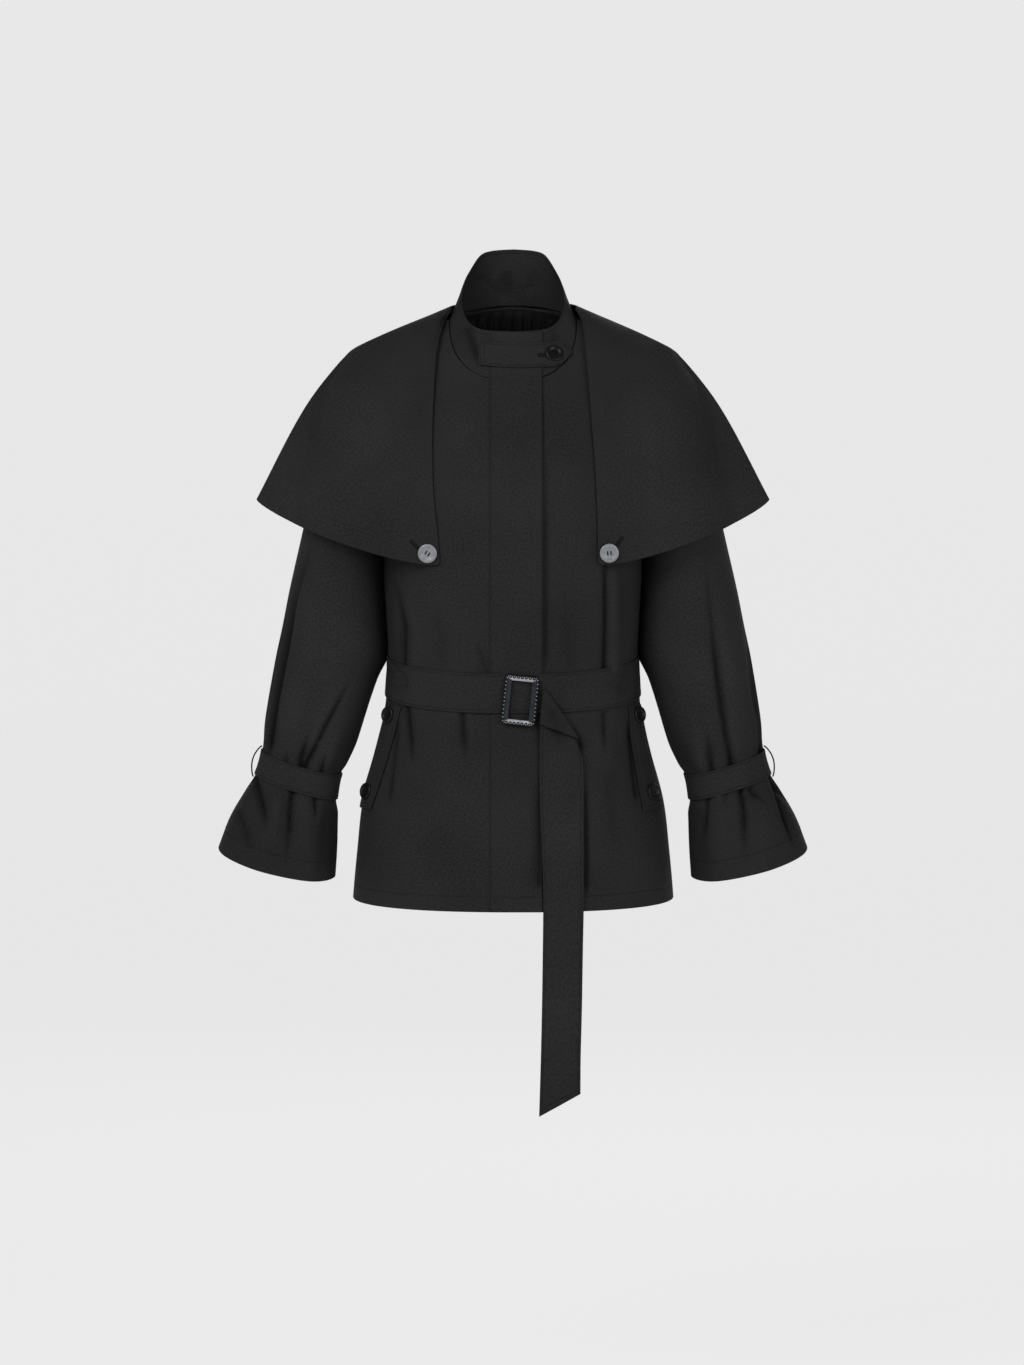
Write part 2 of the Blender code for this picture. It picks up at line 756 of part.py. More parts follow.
def add_back():
    def point(across, row, out):
        middle, knee, side = row
        reach = abs(across)
        if reach < BACK_KNEE:
            start, end, t = middle, knee, reach / BACK_KNEE
        else:
            start, end, t = knee, side, (reach - BACK_KNEE) / (1 - BACK_KNEE)
        angle = mix(start[0], end[0], t)
        z = mix(start[1], end[1], t)
        made = body_point(angle, z, out)
        return Vector((math.copysign(made.x, across), made.y, made.z))

    half = [BACK_KNEE * t for t in shares(BACK_INNER_COLUMNS)]
    half += [mix(BACK_KNEE, 1, t) for t in shares(BACK_OUTER_COLUMNS)[1:]]
    columns = [-t for t in reversed(half[1:])] + half
    add_wall("back_panel", point, back_rows(), columns, lift=-CLOTH)


def add_collar():
    edge = math.degrees(SEAM / NECK_HALF_WIDTH)
    start = math.degrees(PLACKET_MIDDLE / NECK_HALF_WIDTH)
    columns = [start + edge + (360 - 2 * edge) * t for t in shares(COLLAR_COLUMNS)]

    def point(angle, height, out):
        return collar_point(turn_between(angle, 0), height, out)

    add_wall("collar", point, shares(COLLAR_ROWS), columns, lift=-CLOTH)


def add_placket():
    levels = [middle[1] for middle, _ in front_rows(1)[:len(BODY_LEVELS) + NECKLINE_START - 1]]
    seam = NECK_FRONT_Z - PLACKET_SEAM_STEP
    rim = COLLAR_RIM[0].z - PLACKET_RIM_STEP
    heights = levels + [mix(seam, rim, t) for t in shares(PLACKET_COLLAR_ROWS)]
    columns = [mix(PLACKET_LEFT_EDGE, PLACKET_FREE_EDGE, t) for t in shares(PLACKET_COLUMNS)]
    add_wall("front_placket", coat_front_point, heights, columns, lift=LAY)


def tab_point(x, height, out):
    """Place on the throat tab; height runs from its lower to its upper edge."""
    share = (x - TAB_START) / (TAB_POINT - TAB_START)
    sag = TAB_SAG * 4 * share * (1 - share)
    taper = max((x - TAB_POINT) / TAB_POINT_LENGTH + 1, 0)
    from_top = mix(1 - height, 0.5, taper * TAB_POINT_TAPER)
    z = TAB_TOP - sag - TAB_HEIGHT * from_top
    return coat_front_point(x, z, out + placket_lift(x, TAB_MARGIN))


def add_throat_tab():
    columns = [mix(TAB_START, TAB_POINT, t) for t in shares(TAB_COLUMNS)]
    add_wall("throat_tab", tab_point, shares(TAB_ROWS), columns, lift=LAY)
    seat, end = (tab_point(THROAT_BUTTON_X, 0.5, out) for out in (LAYER, LAYER + 1))
    add_button("throat_button", seat, end, THROAT_BUTTON, "black_button")


def add_neck_lining():
    def point(across, down, out):
        wave = 0.5 - 0.5 * math.cos(2 * math.pi * LINING_GATHERS * across)
        depth = LINING_GATHER_DEPTH * wave * ease(down * LINING_GATHER_START)
        x = mix(-LINING_HALF_WIDTH, LINING_HALF_WIDTH, across)
        around = 180 - math.degrees(math.asin(abs(x) / NECK_HALF_WIDTH))
        z = neckline_z(around) - LINING_DROP - LINING_DEPTH * down
        angle = math.copysign(180 - angle_at_x(abs(x), z), x)
        return body_point(angle, z, out - depth)

    lift = -CLOTH - LINING_GAP - LINING
    rows = shares(LINING_ROWS)
    columns = shares(4 * LINING_GATHERS)
    add_wall("neck_lining", point, rows, columns, lift=lift, thickness=LINING, finish="lining")


def add_cape():
    for name, side in (("cape_front_right", -1), ("cape_front_left", 1)):
        def point(across, share, out):
            return cape_front_point(across, share, out, side)

        add_wall(name, point, CAPE_LEVELS, shares(CAPE_FRONT_COLUMNS))
    half = shares(CAPE_BACK_COLUMNS)
    columns = [-t for t in reversed(half[1:])] + half
    add_wall("cape_back", cape_back_point, CAPE_LEVELS, columns)


def add_sleeves():
    columns = [360 * i / SLEEVE_SIDES for i in range(SLEEVE_SIDES)]
    strap_rows = [mix(STRAP_TOP, STRAP_BOTTOM, t) for t in shares(STRAP_ROWS)]
    for name, side in (("right", -1), ("left", 1)):
        def point(angle, reach, out):
            made = sleeve_point(angle, reach, out)
            return Vector((side * made.x, made.y, made.z))

        add_wall(f"sleeve_{name}", point, SLEEVE_LEVELS, columns, lift=-CLOTH, closed=True)
        add_wall(f"wrist_strap_{name}", point, strap_rows, columns, lift=LAY, closed=True)
        add_strap_carrier(f"strap_carrier_{name}", point)


def add_strap_carrier(name, sleeve):
    """Thread loop over the strap on the sleeve's outer side, its ends on the sleeve."""
    curve = bpy.data.curves.new(name, "CURVE")
    curve.dimensions = "3D"
    curve.bevel_depth = CARRIER_RADIUS * MM
    curve.bevel_resolution = 1
    curve.use_fill_caps = True
    spline = curve.splines.new("POLY")
    spline.points.add(CARRIER_POINTS - 1)
    foot = CARRIER_RADIUS + LAY
    for i, place in enumerate(spline.points):
        t = i / (CARRIER_POINTS - 1)
        reach = mix(STRAP_TOP - CARRIER_OVERRUN, STRAP_BOTTOM + CARRIER_OVERRUN, t)
        out = foot + CARRIER_STAND_OFF * math.sin(math.pi * t) ** CARRIER_ROUND
        place.co = (*(sleeve(90, reach, out) * MM), 1)
    curve.materials.append(material("thread"))
    made = bpy.data.objects.new(name, curve)
    bpy.context.scene.collection.objects.link(made)


def belt_point(angle, height, out):
    """Place on the belt, by angle round the body and height over the belt's middle."""
    z = belt_middle(angle) + height
    over_placket = placket_lift(body_surface(angle, z).x, BELT_MARGIN) if abs(angle) < 90 else 0
    return body_point(angle, z, out + over_placket)


def add_belt():
    columns = [turn_between(360 * i / BELT_SIDES, 0) for i in range(BELT_SIDES)]
    rows = [mix(-BELT_HEIGHT / 2, BELT_HEIGHT / 2, t) for t in shares(BELT_ROWS)]
    add_wall("belt", belt_point, rows, columns, lift=LAY, closed=True)


def add_belt_tail():
    """The belt's free end: out of the buckle, folded down over itself and hanging past the hem."""
    hem = BODY_LEVELS[0] - HEM_DROP

    def point(across, row, out):
        x = mix(row.left_x, row.right_x, across)
        z = mix(row.left_z, row.right_z, across)
        return Vector((x, -body_depth(x, max(z, hem), "front") - row.lift - out, z))

    add_wall("belt_tail", point, TAIL, shares(TAIL_COLUMNS))


def rounded_rectangle(width, height, corner):
    """Corners of a rectangle with round corners, in order."""
    points = []
    for i, (sign_x, sign_z) in enumerate(((1, 1), (-1, 1), (-1, -1), (1, -1))):
        for t in shares(BUCKLE_CORNER_STEPS):
            turn = math.pi / 2 * (i + t)
            x = sign_x * (width / 2 - corner) + corner * math.cos(turn)
            z = sign_z * (height / 2 - corner) + corner * math.sin(turn)
            points.append((x, z))
    return points


def add_buckle():
    """Frame with rounded bars, turned a little on the belt."""
    base = -body_depth(BUCKLE_X, BUCKLE_Z, "front") - 2 * LAYER - BUCKLE_CLEAR
    low, high = (body_depth(BUCKLE_X, BUCKLE_Z + way * BUCKLE_HEIGHT / 2, "front") for way in (-1, 1))
    lean = math.atan2(high - low, BUCKLE_HEIGHT)
    inner_width = BUCKLE_WIDTH - 2 * BUCKLE_SIDE_BAR
    inner_height = BUCKLE_HEIGHT - 2 * BUCKLE_END_BAR
    edge = 2 * BUCKLE_ROUND
    inner_corner = BUCKLE_CORNER / 3
    outer_corner = BUCKLE_CORNER - BUCKLE_ROUND
    front = BUCKLE_DEPTH
    loops = (
        (rounded_rectangle(BUCKLE_WIDTH, BUCKLE_HEIGHT, BUCKLE_CORNER), 0),
        (rounded_rectangle(BUCKLE_WIDTH, BUCKLE_HEIGHT, BUCKLE_CORNER), front - BUCKLE_ROUND),
        (rounded_rectangle(BUCKLE_WIDTH - edge, BUCKLE_HEIGHT - edge, outer_corner), front),
        (rounded_rectangle(inner_width + edge, inner_height + edge, outer_corner / 2), front),
        (rounded_rectangle(inner_width, inner_height, inner_corner), front - BUCKLE_ROUND),
        (rounded_rectangle(inner_width, inner_height, inner_corner), 0),
    )
    turned = Matrix.Rotation(lean, 4, "X") @ Matrix.Rotation(math.radians(BUCKLE_TURN), 4, "Y")
    place = Matrix.Translation((BUCKLE_X, base, BUCKLE_Z)) @ turned
    mesh_bm = bmesh.new()
    rings = [[mesh_bm.verts.new(place @ Vector((x, -out, z))) for x, z in loop] for loop, out in loops]
    count = len(rings[0])
    for ring, following in zip(rings, rings[1:] + rings[:1]):
        for i in range(count):
            k = (i + 1) % count
            mesh_bm.faces.new((ring[i], ring[k], following[k], following[i]))
    add_object("buckle", mesh_bm, "buckle_black")


def add_button(name, seat, normal_end, diameter, finish):
    """Turned button with a raised rim, seated on a face with its axis along the face's normal."""
    axis = (normal_end - seat).normalized()
    place = Matrix.Translation(seat + axis * LAY) @ axis.to_track_quat("Z", "Y").to_matrix().to_4x4()
    mesh_bm = bmesh.new()
    rings = []
    for ring in BUTTON_PROFILE:
        circle = []
        for i in range(BUTTON_SIDES):
            turn = 2 * math.pi * i / BUTTON_SIDES
            reach = ring.radius * diameter / 2
            local = Vector((reach * math.cos(turn), reach * math.sin(turn), ring.height))
            circle.append(mesh_bm.verts.new(place @ local))
        rings.append(circle)
    for ring, following in zip(rings, rings[1:]):
        for i in range(BUTTON_SIDES):
            k = (i + 1) % BUTTON_SIDES
            mesh_bm.faces.new((ring[i], ring[k], following[k], following[i]))
    mesh_bm.faces.new(rings[0])
    mesh_bm.faces.new(list(reversed(rings[-1])))
    add_object(name, mesh_bm, finish)


def add_pockets():
    for name, side, column in (("right", -1, "right_x"), ("left", 1, "left_x")):
        def point(across, z, out):
            return body_point(side * (welt_angle(z, column) + WELT_ARC * across), z, out)

        rows = [mix(WELT[0].z, WELT[-1].z, t) for t in shares(WELT_ROWS)]
        add_wall(f"pocket_welt_{name}", point, rows, shares(WELT_COLUMNS), lift=LAY)
        for level, z in POCKET_BUTTON_HEIGHTS.items():
            seat, end = (point(0.5, z, out) for out in (LAYER, LAYER + 1))
            add_button(f"pocket_button_{name}_{level}", seat, end, POCKET_BUTTON, "black_button")


def add_cape_buttons():
    for name, side in (("right", -1), ("left", 1)):
        share = 1 - CAPE_BUTTON_RISE
        column = "left_x" if side > 0 else "right_x"
        width = smooth(CAPE_RIDGE, "x", share) - smooth(CAPE_EDGE, column, share)
        across = CAPE_BUTTON_INSET / width
        seat, end = (cape_front_point(across, share, out, side) for out in (CLOTH, CLOTH + 1))
        add_button(f"cape_button_{name}", seat, end, CAPE_BUTTON, "grey_button")


def main():
    for old in list(bpy.data.objects):
        bpy.data.objects.remove(old)
    add_back()
    add_fronts()
    add_collar()
    add_placket()
    add_neck_lining()
    add_cape()
    add_cape_buttons()
    add_sleeves()
    add_pockets()
    add_belt()
    add_belt_tail()
    add_buckle()
    add_throat_tab()


main()
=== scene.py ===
# %% [markdown]
# # A belted cape trench coat, filled out as if worn
# The coat is cut from black twill: fronts, back, a stand collar, a short cape that buttons down at its front
# corners, flared cuffs under wrist straps, and a belt with a rope-edged buckle. The imported model already holds
# every piece as a plain wall at its true size. This lesson lays finer cloth over the same forms, then adds the
# creases, stitches, buttons and finishes. All sizes are in millimetres until a mesh is made.

# %% Load the imported coat, each piece where it stands
import math
from bisect import bisect
from collections import namedtuple

import bmesh
import bpy
from mathutils import Matrix, Vector, noise
from mathutils.bvhtree import BVHTree


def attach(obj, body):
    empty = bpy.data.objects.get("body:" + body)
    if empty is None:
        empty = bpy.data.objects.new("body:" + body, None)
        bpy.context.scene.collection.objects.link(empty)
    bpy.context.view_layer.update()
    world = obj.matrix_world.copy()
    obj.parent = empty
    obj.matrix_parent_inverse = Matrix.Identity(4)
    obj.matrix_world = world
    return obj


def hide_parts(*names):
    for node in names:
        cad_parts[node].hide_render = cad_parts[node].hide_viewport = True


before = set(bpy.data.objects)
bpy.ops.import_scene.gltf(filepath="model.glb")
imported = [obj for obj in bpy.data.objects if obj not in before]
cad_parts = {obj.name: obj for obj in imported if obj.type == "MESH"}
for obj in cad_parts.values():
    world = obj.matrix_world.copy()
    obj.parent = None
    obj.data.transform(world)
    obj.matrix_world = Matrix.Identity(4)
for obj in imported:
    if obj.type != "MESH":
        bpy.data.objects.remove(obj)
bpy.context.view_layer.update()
MM = 0.001
SIDES = (("right", -1), ("left", 1))  # the wearer's


def put_in_scene(name, data):
    """Object at the origin that shows a mesh, a curve, a light or the camera."""
    made = bpy.data.objects.new(name, data)
    bpy.context.scene.collection.objects.link(made)
    return made


def smooth_mesh(shape, name):
    """Finished bmesh as a mesh that shades smooth."""
    mesh = bpy.data.meshes.new(name)
    shape.to_mesh(mesh)
    shape.free()
    mesh.shade_smooth()
    return mesh


# %% [markdown]
# ## Camera, floor and light
# The photograph looks at the coat from the front and a little from above, with a long lens from far off, which
# keeps the sleeves, the body and the front at one scale. One picture pixel is 1.22 mm at the middle of the coat, so
# the frame's 1365 pixels are 1.665 m, and that gives the lens for a chosen distance. The floor is a pale dish that
# curves up all round, made from one turned line: no edge shows from any side, and its light falls evenly.

# %% Camera
PIXEL = 1.22
FRAME_HEIGHT = 1365 * PIXEL * MM
CAMERA_DISTANCE = 11
CAMERA_RISE = math.radians(4)
aim = Vector((-0.0012, 0, -0.4606))
camera = put_in_scene("camera", bpy.data.cameras.new("camera"))
camera.data.lens = camera.data.sensor_width * CAMERA_DISTANCE / FRAME_HEIGHT
camera.location = aim + CAMERA_DISTANCE * Vector((0, -math.cos(CAMERA_RISE), math.sin(CAMERA_RISE)))
camera.rotation_euler = (aim - camera.location).to_track_quat("-Z", "Y").to_euler()
bpy.context.scene.camera = camera
print(f"lens {camera.data.lens:.1f} mm at {CAMERA_DISTANCE} m")

# %% Round floor that sweeps up all round the coat
FLOOR_Z, FLOOR_RADIUS, SWEEP_RADIUS, WALL_HEIGHT = -1.35, 15, 3, 4
dish = bmesh.new()
centre = dish.verts.new((0, 0, FLOOR_Z))
turn_start = dish.verts.new((FLOOR_RADIUS - SWEEP_RADIUS, 0, FLOOR_Z))
dish.edges.new((centre, turn_start))
swept = bmesh.ops.spin(dish, geom=[turn_start], cent=(turn_start.co.x, 0, FLOOR_Z + SWEEP_RADIUS), axis=(0, -1, 0),
                       angle=math.radians(90), steps=16, use_duplicate=False)
wall_foot = swept["geom_last"][0]
wall_top = dish.verts.new(wall_foot.co + Vector((0, 0, WALL_HEIGHT)))
dish.edges.new((wall_foot, wall_top))
bmesh.ops.spin(dish, geom=dish.verts[:] + dish.edges[:], axis=(0, 0, 1), angle=math.radians(360), steps=72,
               use_merge=True, use_duplicate=False)
bmesh.ops.remove_doubles(dish, verts=dish.verts, dist=0.0001)
bmesh.ops.recalc_face_normals(dish, faces=dish.faces)
floor_mesh = smooth_mesh(dish, "floor")
floor = put_in_scene("floor", floor_mesh)
print("floor faces:", len(floor_mesh.polygons), "top at", round(max(v.co.z for v in floor_mesh.vertices), 2), "m")

# %% Soft studio light
def add_light(name, place, target, size, power):
    """Square soft box that faces a target."""
    made = put_in_scene(name, bpy.data.lights.new(name, "AREA"))
    made.data.size = size
    made.data.energy = power
    made.location = place
    made.visible_camera = False
    made.rotation_euler = (Vector(target) - Vector(place)).to_track_quat("-Z", "Y").to_euler()


add_light("key", (-1.9, -2.9, 1.7), (0, 0, -0.4), 1.8, 95)
add_light("fill", (2.4, -2.9, 0.5), (0, 0, -0.45), 2.0, 45)
add_light("back", (0.6, 3.2, 1.2), (0, 0, -0.4), 2.2, 50)
world = bpy.data.worlds.new("studio")
bpy.context.scene.world = world
world.use_nodes = True
world.node_tree.nodes["Background"].inputs["Color"].default_value = (0.9, 0.9, 0.9, 1)
world.node_tree.nodes["Background"].inputs["Strength"].default_value = 0.22
bpy.context.scene.view_settings.view_transform = "Standard"

# %% [markdown]
# ## The coat's forms
# A pattern cutter describes a garment by its girths: so far round at the hem, the waist, the chest. The same
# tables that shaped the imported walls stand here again, each a short list of rings, and a smooth curve through the
# rows gives every height between. Angles run round the body: 0 is the front, 90 the wearer's left, 180 the back.

# %% Smooth tables and small helpers
def curves(names, *rows):
    """A smooth function for each named column of a table, over the table's first column."""
    keys = [row[0] for row in rows]
    last = len(rows) - 1

    def column(k):
        values = [row[k] for row in rows]
        slopes = []
        for i in range(last + 1):
            low, high = max(i - 1, 0), min(i + 1, last)
            slopes.append((values[high] - values[low]) / (keys[high] - keys[low]))

        def at(place):
            if place <= keys[0]:
                return values[0] + slopes[0] * (place - keys[0])
            if place >= keys[last]:
                return values[last] + slopes[last] * (place - keys[last])
            i = bisect(keys, place) - 1
            span = keys[i + 1] - keys[i]
            t = (place - keys[i]) / span
            rise = values[i + 1] - values[i]
            bend = (slopes[i] * span - rise) * (1 - t) + (rise - slopes[i + 1] * span) * t
            return values[i] + rise * t + t * (1 - t) * bend

        return at

    return namedtuple("Curves", names)(*(column(k + 1) for k in range(len(names.split()))))


def mix(a, b, t):
    return a + (b - a) * t


def power(value, exponent):
    """A power that keeps the sign."""
    return math.copysign(abs(value) ** exponent, value)


def ease(t):
    """Soft step from 0 to 1."""
    t = min(max(t, 0), 1)
    return t * t * (3 - 2 * t)


def bump(distance, width):
    return math.exp(-((distance / width) ** 2))


def turn_between(a, b):
    return (a - b + 180) % 360 - 180


def moved_out(surface, a, b, out, step_a, step_b):
    """Point of a surface, moved out along its normal."""
    along_a = surface(a + step_a, b) - surface(a - step_a, b)
    along_b = surface(a, b + step_b) - surface(a, b - step_b)
    return surface(a, b) + along_a.cross(along_b).normalized() * out


# %% Body of the coat
CLOTH, SEAM, LAY = 1.5, 0.35, 0.7
LAYER = LAY + CLOTH
body = curves(
    "half_width front back",
    (-740, 196.5, 129, 133), (-722, 196, 128, 132), (-665, 191, 125, 129), (-604, 184, 120, 125),
    (-543, 168, 112, 117), (-490, 156, 104, 108), (-452, 153, 101, 103), (-420, 152, 102, 103),
    (-380, 154, 107, 105), (-320, 157.5, 113, 109), (-260, 157, 117, 113), (-205, 156, 114, 116),
    (-150, 164, 97, 115), (-95, 177, 72, 108), (-58, 182, 53, 99), (-44, 154, 45, 94),
    (-30, 119, 36, 88), (-16, 78, 24, 80), (-4, 68, 18, 75))
BODY_POWER = 2 / 2.3
HEM_Z, UNDERARM_Z, HEM_DROP = -722, -205, 8
BELT_HEIGHT, BELT_SIDE_Z, BELT_FRONT_DROP, BELT_BACK_RISE, BELT_MARGIN = 48, -450, 17, 6, 16
BodyFold = namedtuple("BodyFold", "angle lean near far width height")
BODY_FOLDS = [BodyFold(*row) for row in (
    (46, 0, 34, 165, 8, 4.5), (-60, 7, 34, 140, 9, 4.0), (-19, 0, -42, -90, 8, 2.5), (-42, -2, -42, -112, 7, 3.5),
    (40, 2, -42, -98, 7, 3.0), (118, 3, 34, 122, 9, 4.5), (152, -2, 34, 98, 8, 4.0), (-131, 2, 34, 114, 9, 5.0),
    (-163, 0, 34, 82, 8, 3.5), (127, -3, -42, -116, 9, 4.5), (163, 1, -42, -92, 8, 3.5),
    (-122, 3, -42, -126, 9, 4.0), (-150, -2, -42, -102, 8, 4.5))]


def belt_middle(angle):
    lean = math.cos(math.radians(angle))
    return BELT_SIDE_Z - (BELT_FRONT_DROP if lean > 0 else BELT_BACK_RISE) * lean


def body_fold(angle, z):
    """Height of the folds that the belt draws into the body."""
    height = 0
    from_belt = z - belt_middle(angle)
    for fold in BODY_FOLDS:
        t = (from_belt - fold.near) / (fold.far - fold.near)
        if 0 < t < 1:
            middle = fold.angle + fold.lean * (t - 0.5) * 2
            height += fold.height * ease(t * 3) * ease((1 - t) * 3) * bump(turn_between(angle, middle), fold.width)
    return height


def body_surface(angle, z):
    turn = math.radians(angle)
    depth = body.front(z) if math.cos(turn) > 0 else body.back(z)
    x = body.half_width(z) * power(math.sin(turn), BODY_POWER)
    y = -depth * power(math.cos(turn), BODY_POWER)
    stretch = 1 + body_fold(angle, z) / math.hypot(x, y)
    return Vector((x * stretch, y * stretch, z))


def body_point(angle, z, out=0):
    return moved_out(body_surface, angle, z, out, 0.6, 0.5) if out else body_surface(angle, z)


def angle_at_x(x, z):
    share = min(max(x / body.half_width(z), -1), 1)
    return math.degrees(math.asin(power(share, 1 / BODY_POWER)))


def angle_at_y(y, z):
    depth = body.front(z) if y < 0 else body.back(z)
    return math.degrees(math.acos(power(min(max(-y / depth, -1), 1), 1 / BODY_POWER)))


def body_depth(x, z, side):
    share = abs(x) / body.half_width(z)
    if share >= 1:
        return 0
    return getattr(body, side)(z) * (1 - share ** (2 / BODY_POWER)) ** (BODY_POWER / 2)


print(f"waist {2 * body.half_width(-450):.0f} mm wide, hem {2 * body.half_width(HEM_Z):.0f} mm")

# %% Neckline, armholes and the rows of the panels
NECK_HALF_WIDTH, NECK_FRONT_Z, NECK_SIDE_Z, NECK_BACK_Z, NECK_POWER = 78, -90, -16, -4, 0.8
ARMHOLE_Z, ARMHOLE_HALF_HEIGHT, ARMHOLE_HALF_DEPTH = -131.5, 73.5, 60
NECKLINE_START = 5 / 12
BACK_KNEE = 0.45
PLACKET_LEFT_EDGE, PLACKET_FREE_EDGE, PLACKET_MIDDLE = -29, 35, 3


def neckline_z(angle):
    lean = math.cos(math.radians(angle))
    if lean > 0:
        return NECK_SIDE_Z + (NECK_FRONT_Z - NECK_SIDE_Z) * lean ** NECK_POWER
    return NECK_SIDE_Z + (NECK_BACK_Z - NECK_SIDE_Z) * lean ** 2


def neckline_x(angle):
    turn = math.radians(angle)
    return NECK_HALF_WIDTH * power(math.sin(turn), NECK_POWER if math.cos(turn) > 0 else BODY_POWER)


def neckline_body_angle(angle):
    front_angle = angle_at_x(neckline_x(angle), neckline_z(angle))
    return front_angle if math.cos(math.radians(angle)) > 0 else math.copysign(180, angle) - front_angle


def armhole(share):
    """Depth and height of the armhole's edge, from the underarm (0) to the shoulder (1)."""
    depth = max(ARMHOLE_HALF_DEPTH * math.sin(math.pi * share), SEAM)
    return depth, ARMHOLE_Z - ARMHOLE_HALF_HEIGHT * math.cos(math.pi * share)


def front_point(side, across, up):
    """Place on a front: up is 0 at the hem, 1 at the underarm and 2 at the shoulder."""
    split = PLACKET_MIDDLE + side * SEAM
    if up <= 1:
        outer_z = mix(HEM_Z, UNDERARM_Z, up)
        inner_z = outer_z - HEM_DROP * (1 - up)
        inner_angle, outer_angle = angle_at_x(split, inner_z), side * angle_at_y(-SEAM, outer_z)
    else:
        depth, outer_z = armhole(up - 1)
        outer_angle = side * angle_at_y(-depth, outer_z)
        if up - 1 <= NECKLINE_START:
            inner_z = mix(UNDERARM_Z, NECK_FRONT_Z, (up - 1) / NECKLINE_START)
            inner_angle = angle_at_x(split, inner_z)
        else:
            around = 90 * (up - 1 - NECKLINE_START) / (1 - NECKLINE_START)
            inner_z = neckline_z(around)
            x = mix(split, side * NECK_HALF_WIDTH, neckline_x(around) / NECK_HALF_WIDTH)
            inner_angle = angle_at_x(x, inner_z) if up < 2 else side * angle_at_y(-SEAM, inner_z)
    rise = across ** 2 if inner_z < outer_z else across
    return body_point(mix(inner_angle, outer_angle, across), mix(inner_z, outer_z, rise))


def back_panel_point(across, up):
    """Place on the back, from side seam (-1) over the middle (0) to side seam (1)."""
    reach = abs(across)
    knee_angle = mix(180, angle_at_y(SEAM, UNDERARM_Z), BACK_KNEE)
    if up <= 1:
        z = mix(HEM_Z, UNDERARM_Z, up)
        middle, knee = (180, z), (mix(180, angle_at_y(SEAM, z), BACK_KNEE), z)
        edge = (angle_at_y(SEAM, z), z)
    else:
        depth, side_z = armhole(up - 1)
        middle = (180, mix(UNDERARM_Z, NECK_BACK_Z, up - 1))
        neck_corner = angle_at_y(SEAM, NECK_SIDE_Z)
        knee = (mix(knee_angle, neck_corner, up - 1), mix(UNDERARM_Z, NECK_SIDE_Z, up - 1))
        edge = (angle_at_y(depth, side_z), side_z)
    if reach < BACK_KNEE:
        start, end, t = middle, knee, reach / BACK_KNEE
    else:
        start, end, t = knee, edge, (reach - BACK_KNEE) / (1 - BACK_KNEE)
    made = body_point(mix(start[0], end[0], t), mix(start[1], end[1], t))
    return Vector((math.copysign(made.x, across), made.y, made.z))


print("neckline from", NECK_FRONT_Z, "in front to", NECK_BACK_Z, "at the back")

# %% Collar and the coat's front as one face
collar_rim = curves("z", (0, -31), (40, -28), (60, -19), (75, -6), (90, 9), (106, 24), (124, 41), (141, 59),
                    (155, 64), (180, 66))
RIM_HALF_WIDTH, RIM_FRONT, RIM_BACK, COLLAR_SEAM, COLLAR_RISE = 63, 50, 66, 1.4, 0.8


def collar_surface(angle, height):
    """Place on the collar, from the neck seam (0) to the rim (1)."""
    seam = body_surface(neckline_body_angle(angle), neckline_z(angle))
    inset = 1 - COLLAR_SEAM / NECK_HALF_WIDTH
    base = Vector((seam.x * inset, seam.y * inset, seam.z + COLLAR_RISE))
    turn = math.radians(angle)
    depth = RIM_FRONT if math.cos(turn) > 0 else RIM_BACK
    rim = Vector((RIM_HALF_WIDTH * math.sin(turn), -depth * math.cos(turn),
                  collar_rim.z(abs(turn_between(angle, 0)))))
    return base.lerp(rim, height)


def coat_front_surface(x, z):
    """The front below the neckline and the collar above it, as a depth over the front view."""
    if z < NECK_FRONT_Z - 8:
        return Vector((x, -body_depth(x, z, "front"), z))
    low, high = 0, 89
    for _ in range(24):
        angle = (low + high) / 2
        base, rim = collar_surface(angle, 0), collar_surface(angle, 1)
        height = (z - base.z) / (rim.z - base.z)
        place = base.lerp(rim, height)
        low, high = (angle, high) if place.x < abs(x) else (low, angle)
    return Vector((x, place.y if height > 0 else -body_depth(x, z, "front"), z))


def coat_front_point(x, z, out):
    return moved_out(coat_front_surface, x, z, out, 0.5, 0.5)


def placket_lift(x, margin):
    """How far the placket lifts what lies over it."""
    beside = max(PLACKET_LEFT_EDGE - x, x - PLACKET_FREE_EDGE)
    return LAYER * ease(2 - beside / margin)


TAB_START, TAB_POINT, TAB_POINT_LENGTH, TAB_TOP, TAB_HEIGHT, TAB_SAG, TAB_MARGIN = -41, 71, 14, -43, 29, 3, 26


def tab_point(x, height, out):
    share = (x - TAB_START) / (TAB_POINT - TAB_START)
    taper = max((x - TAB_POINT) / TAB_POINT_LENGTH + 1, 0)
    z = TAB_TOP - TAB_SAG * 4 * share * (1 - share) - TAB_HEIGHT * mix(1 - height, 0.5, taper * 0.9)
    return coat_front_point(x, z, out + placket_lift(x, TAB_MARGIN))


def belt_point(angle, height, out):
    z = belt_middle(angle) + height
    over_placket = placket_lift(body_surface(angle, z).x, BELT_MARGIN) if abs(angle) < 90 else 0
    return body_point(angle, z, out + over_placket)


print("collar stands", collar_rim.z(180) - NECK_BACK_Z, "mm at the back")

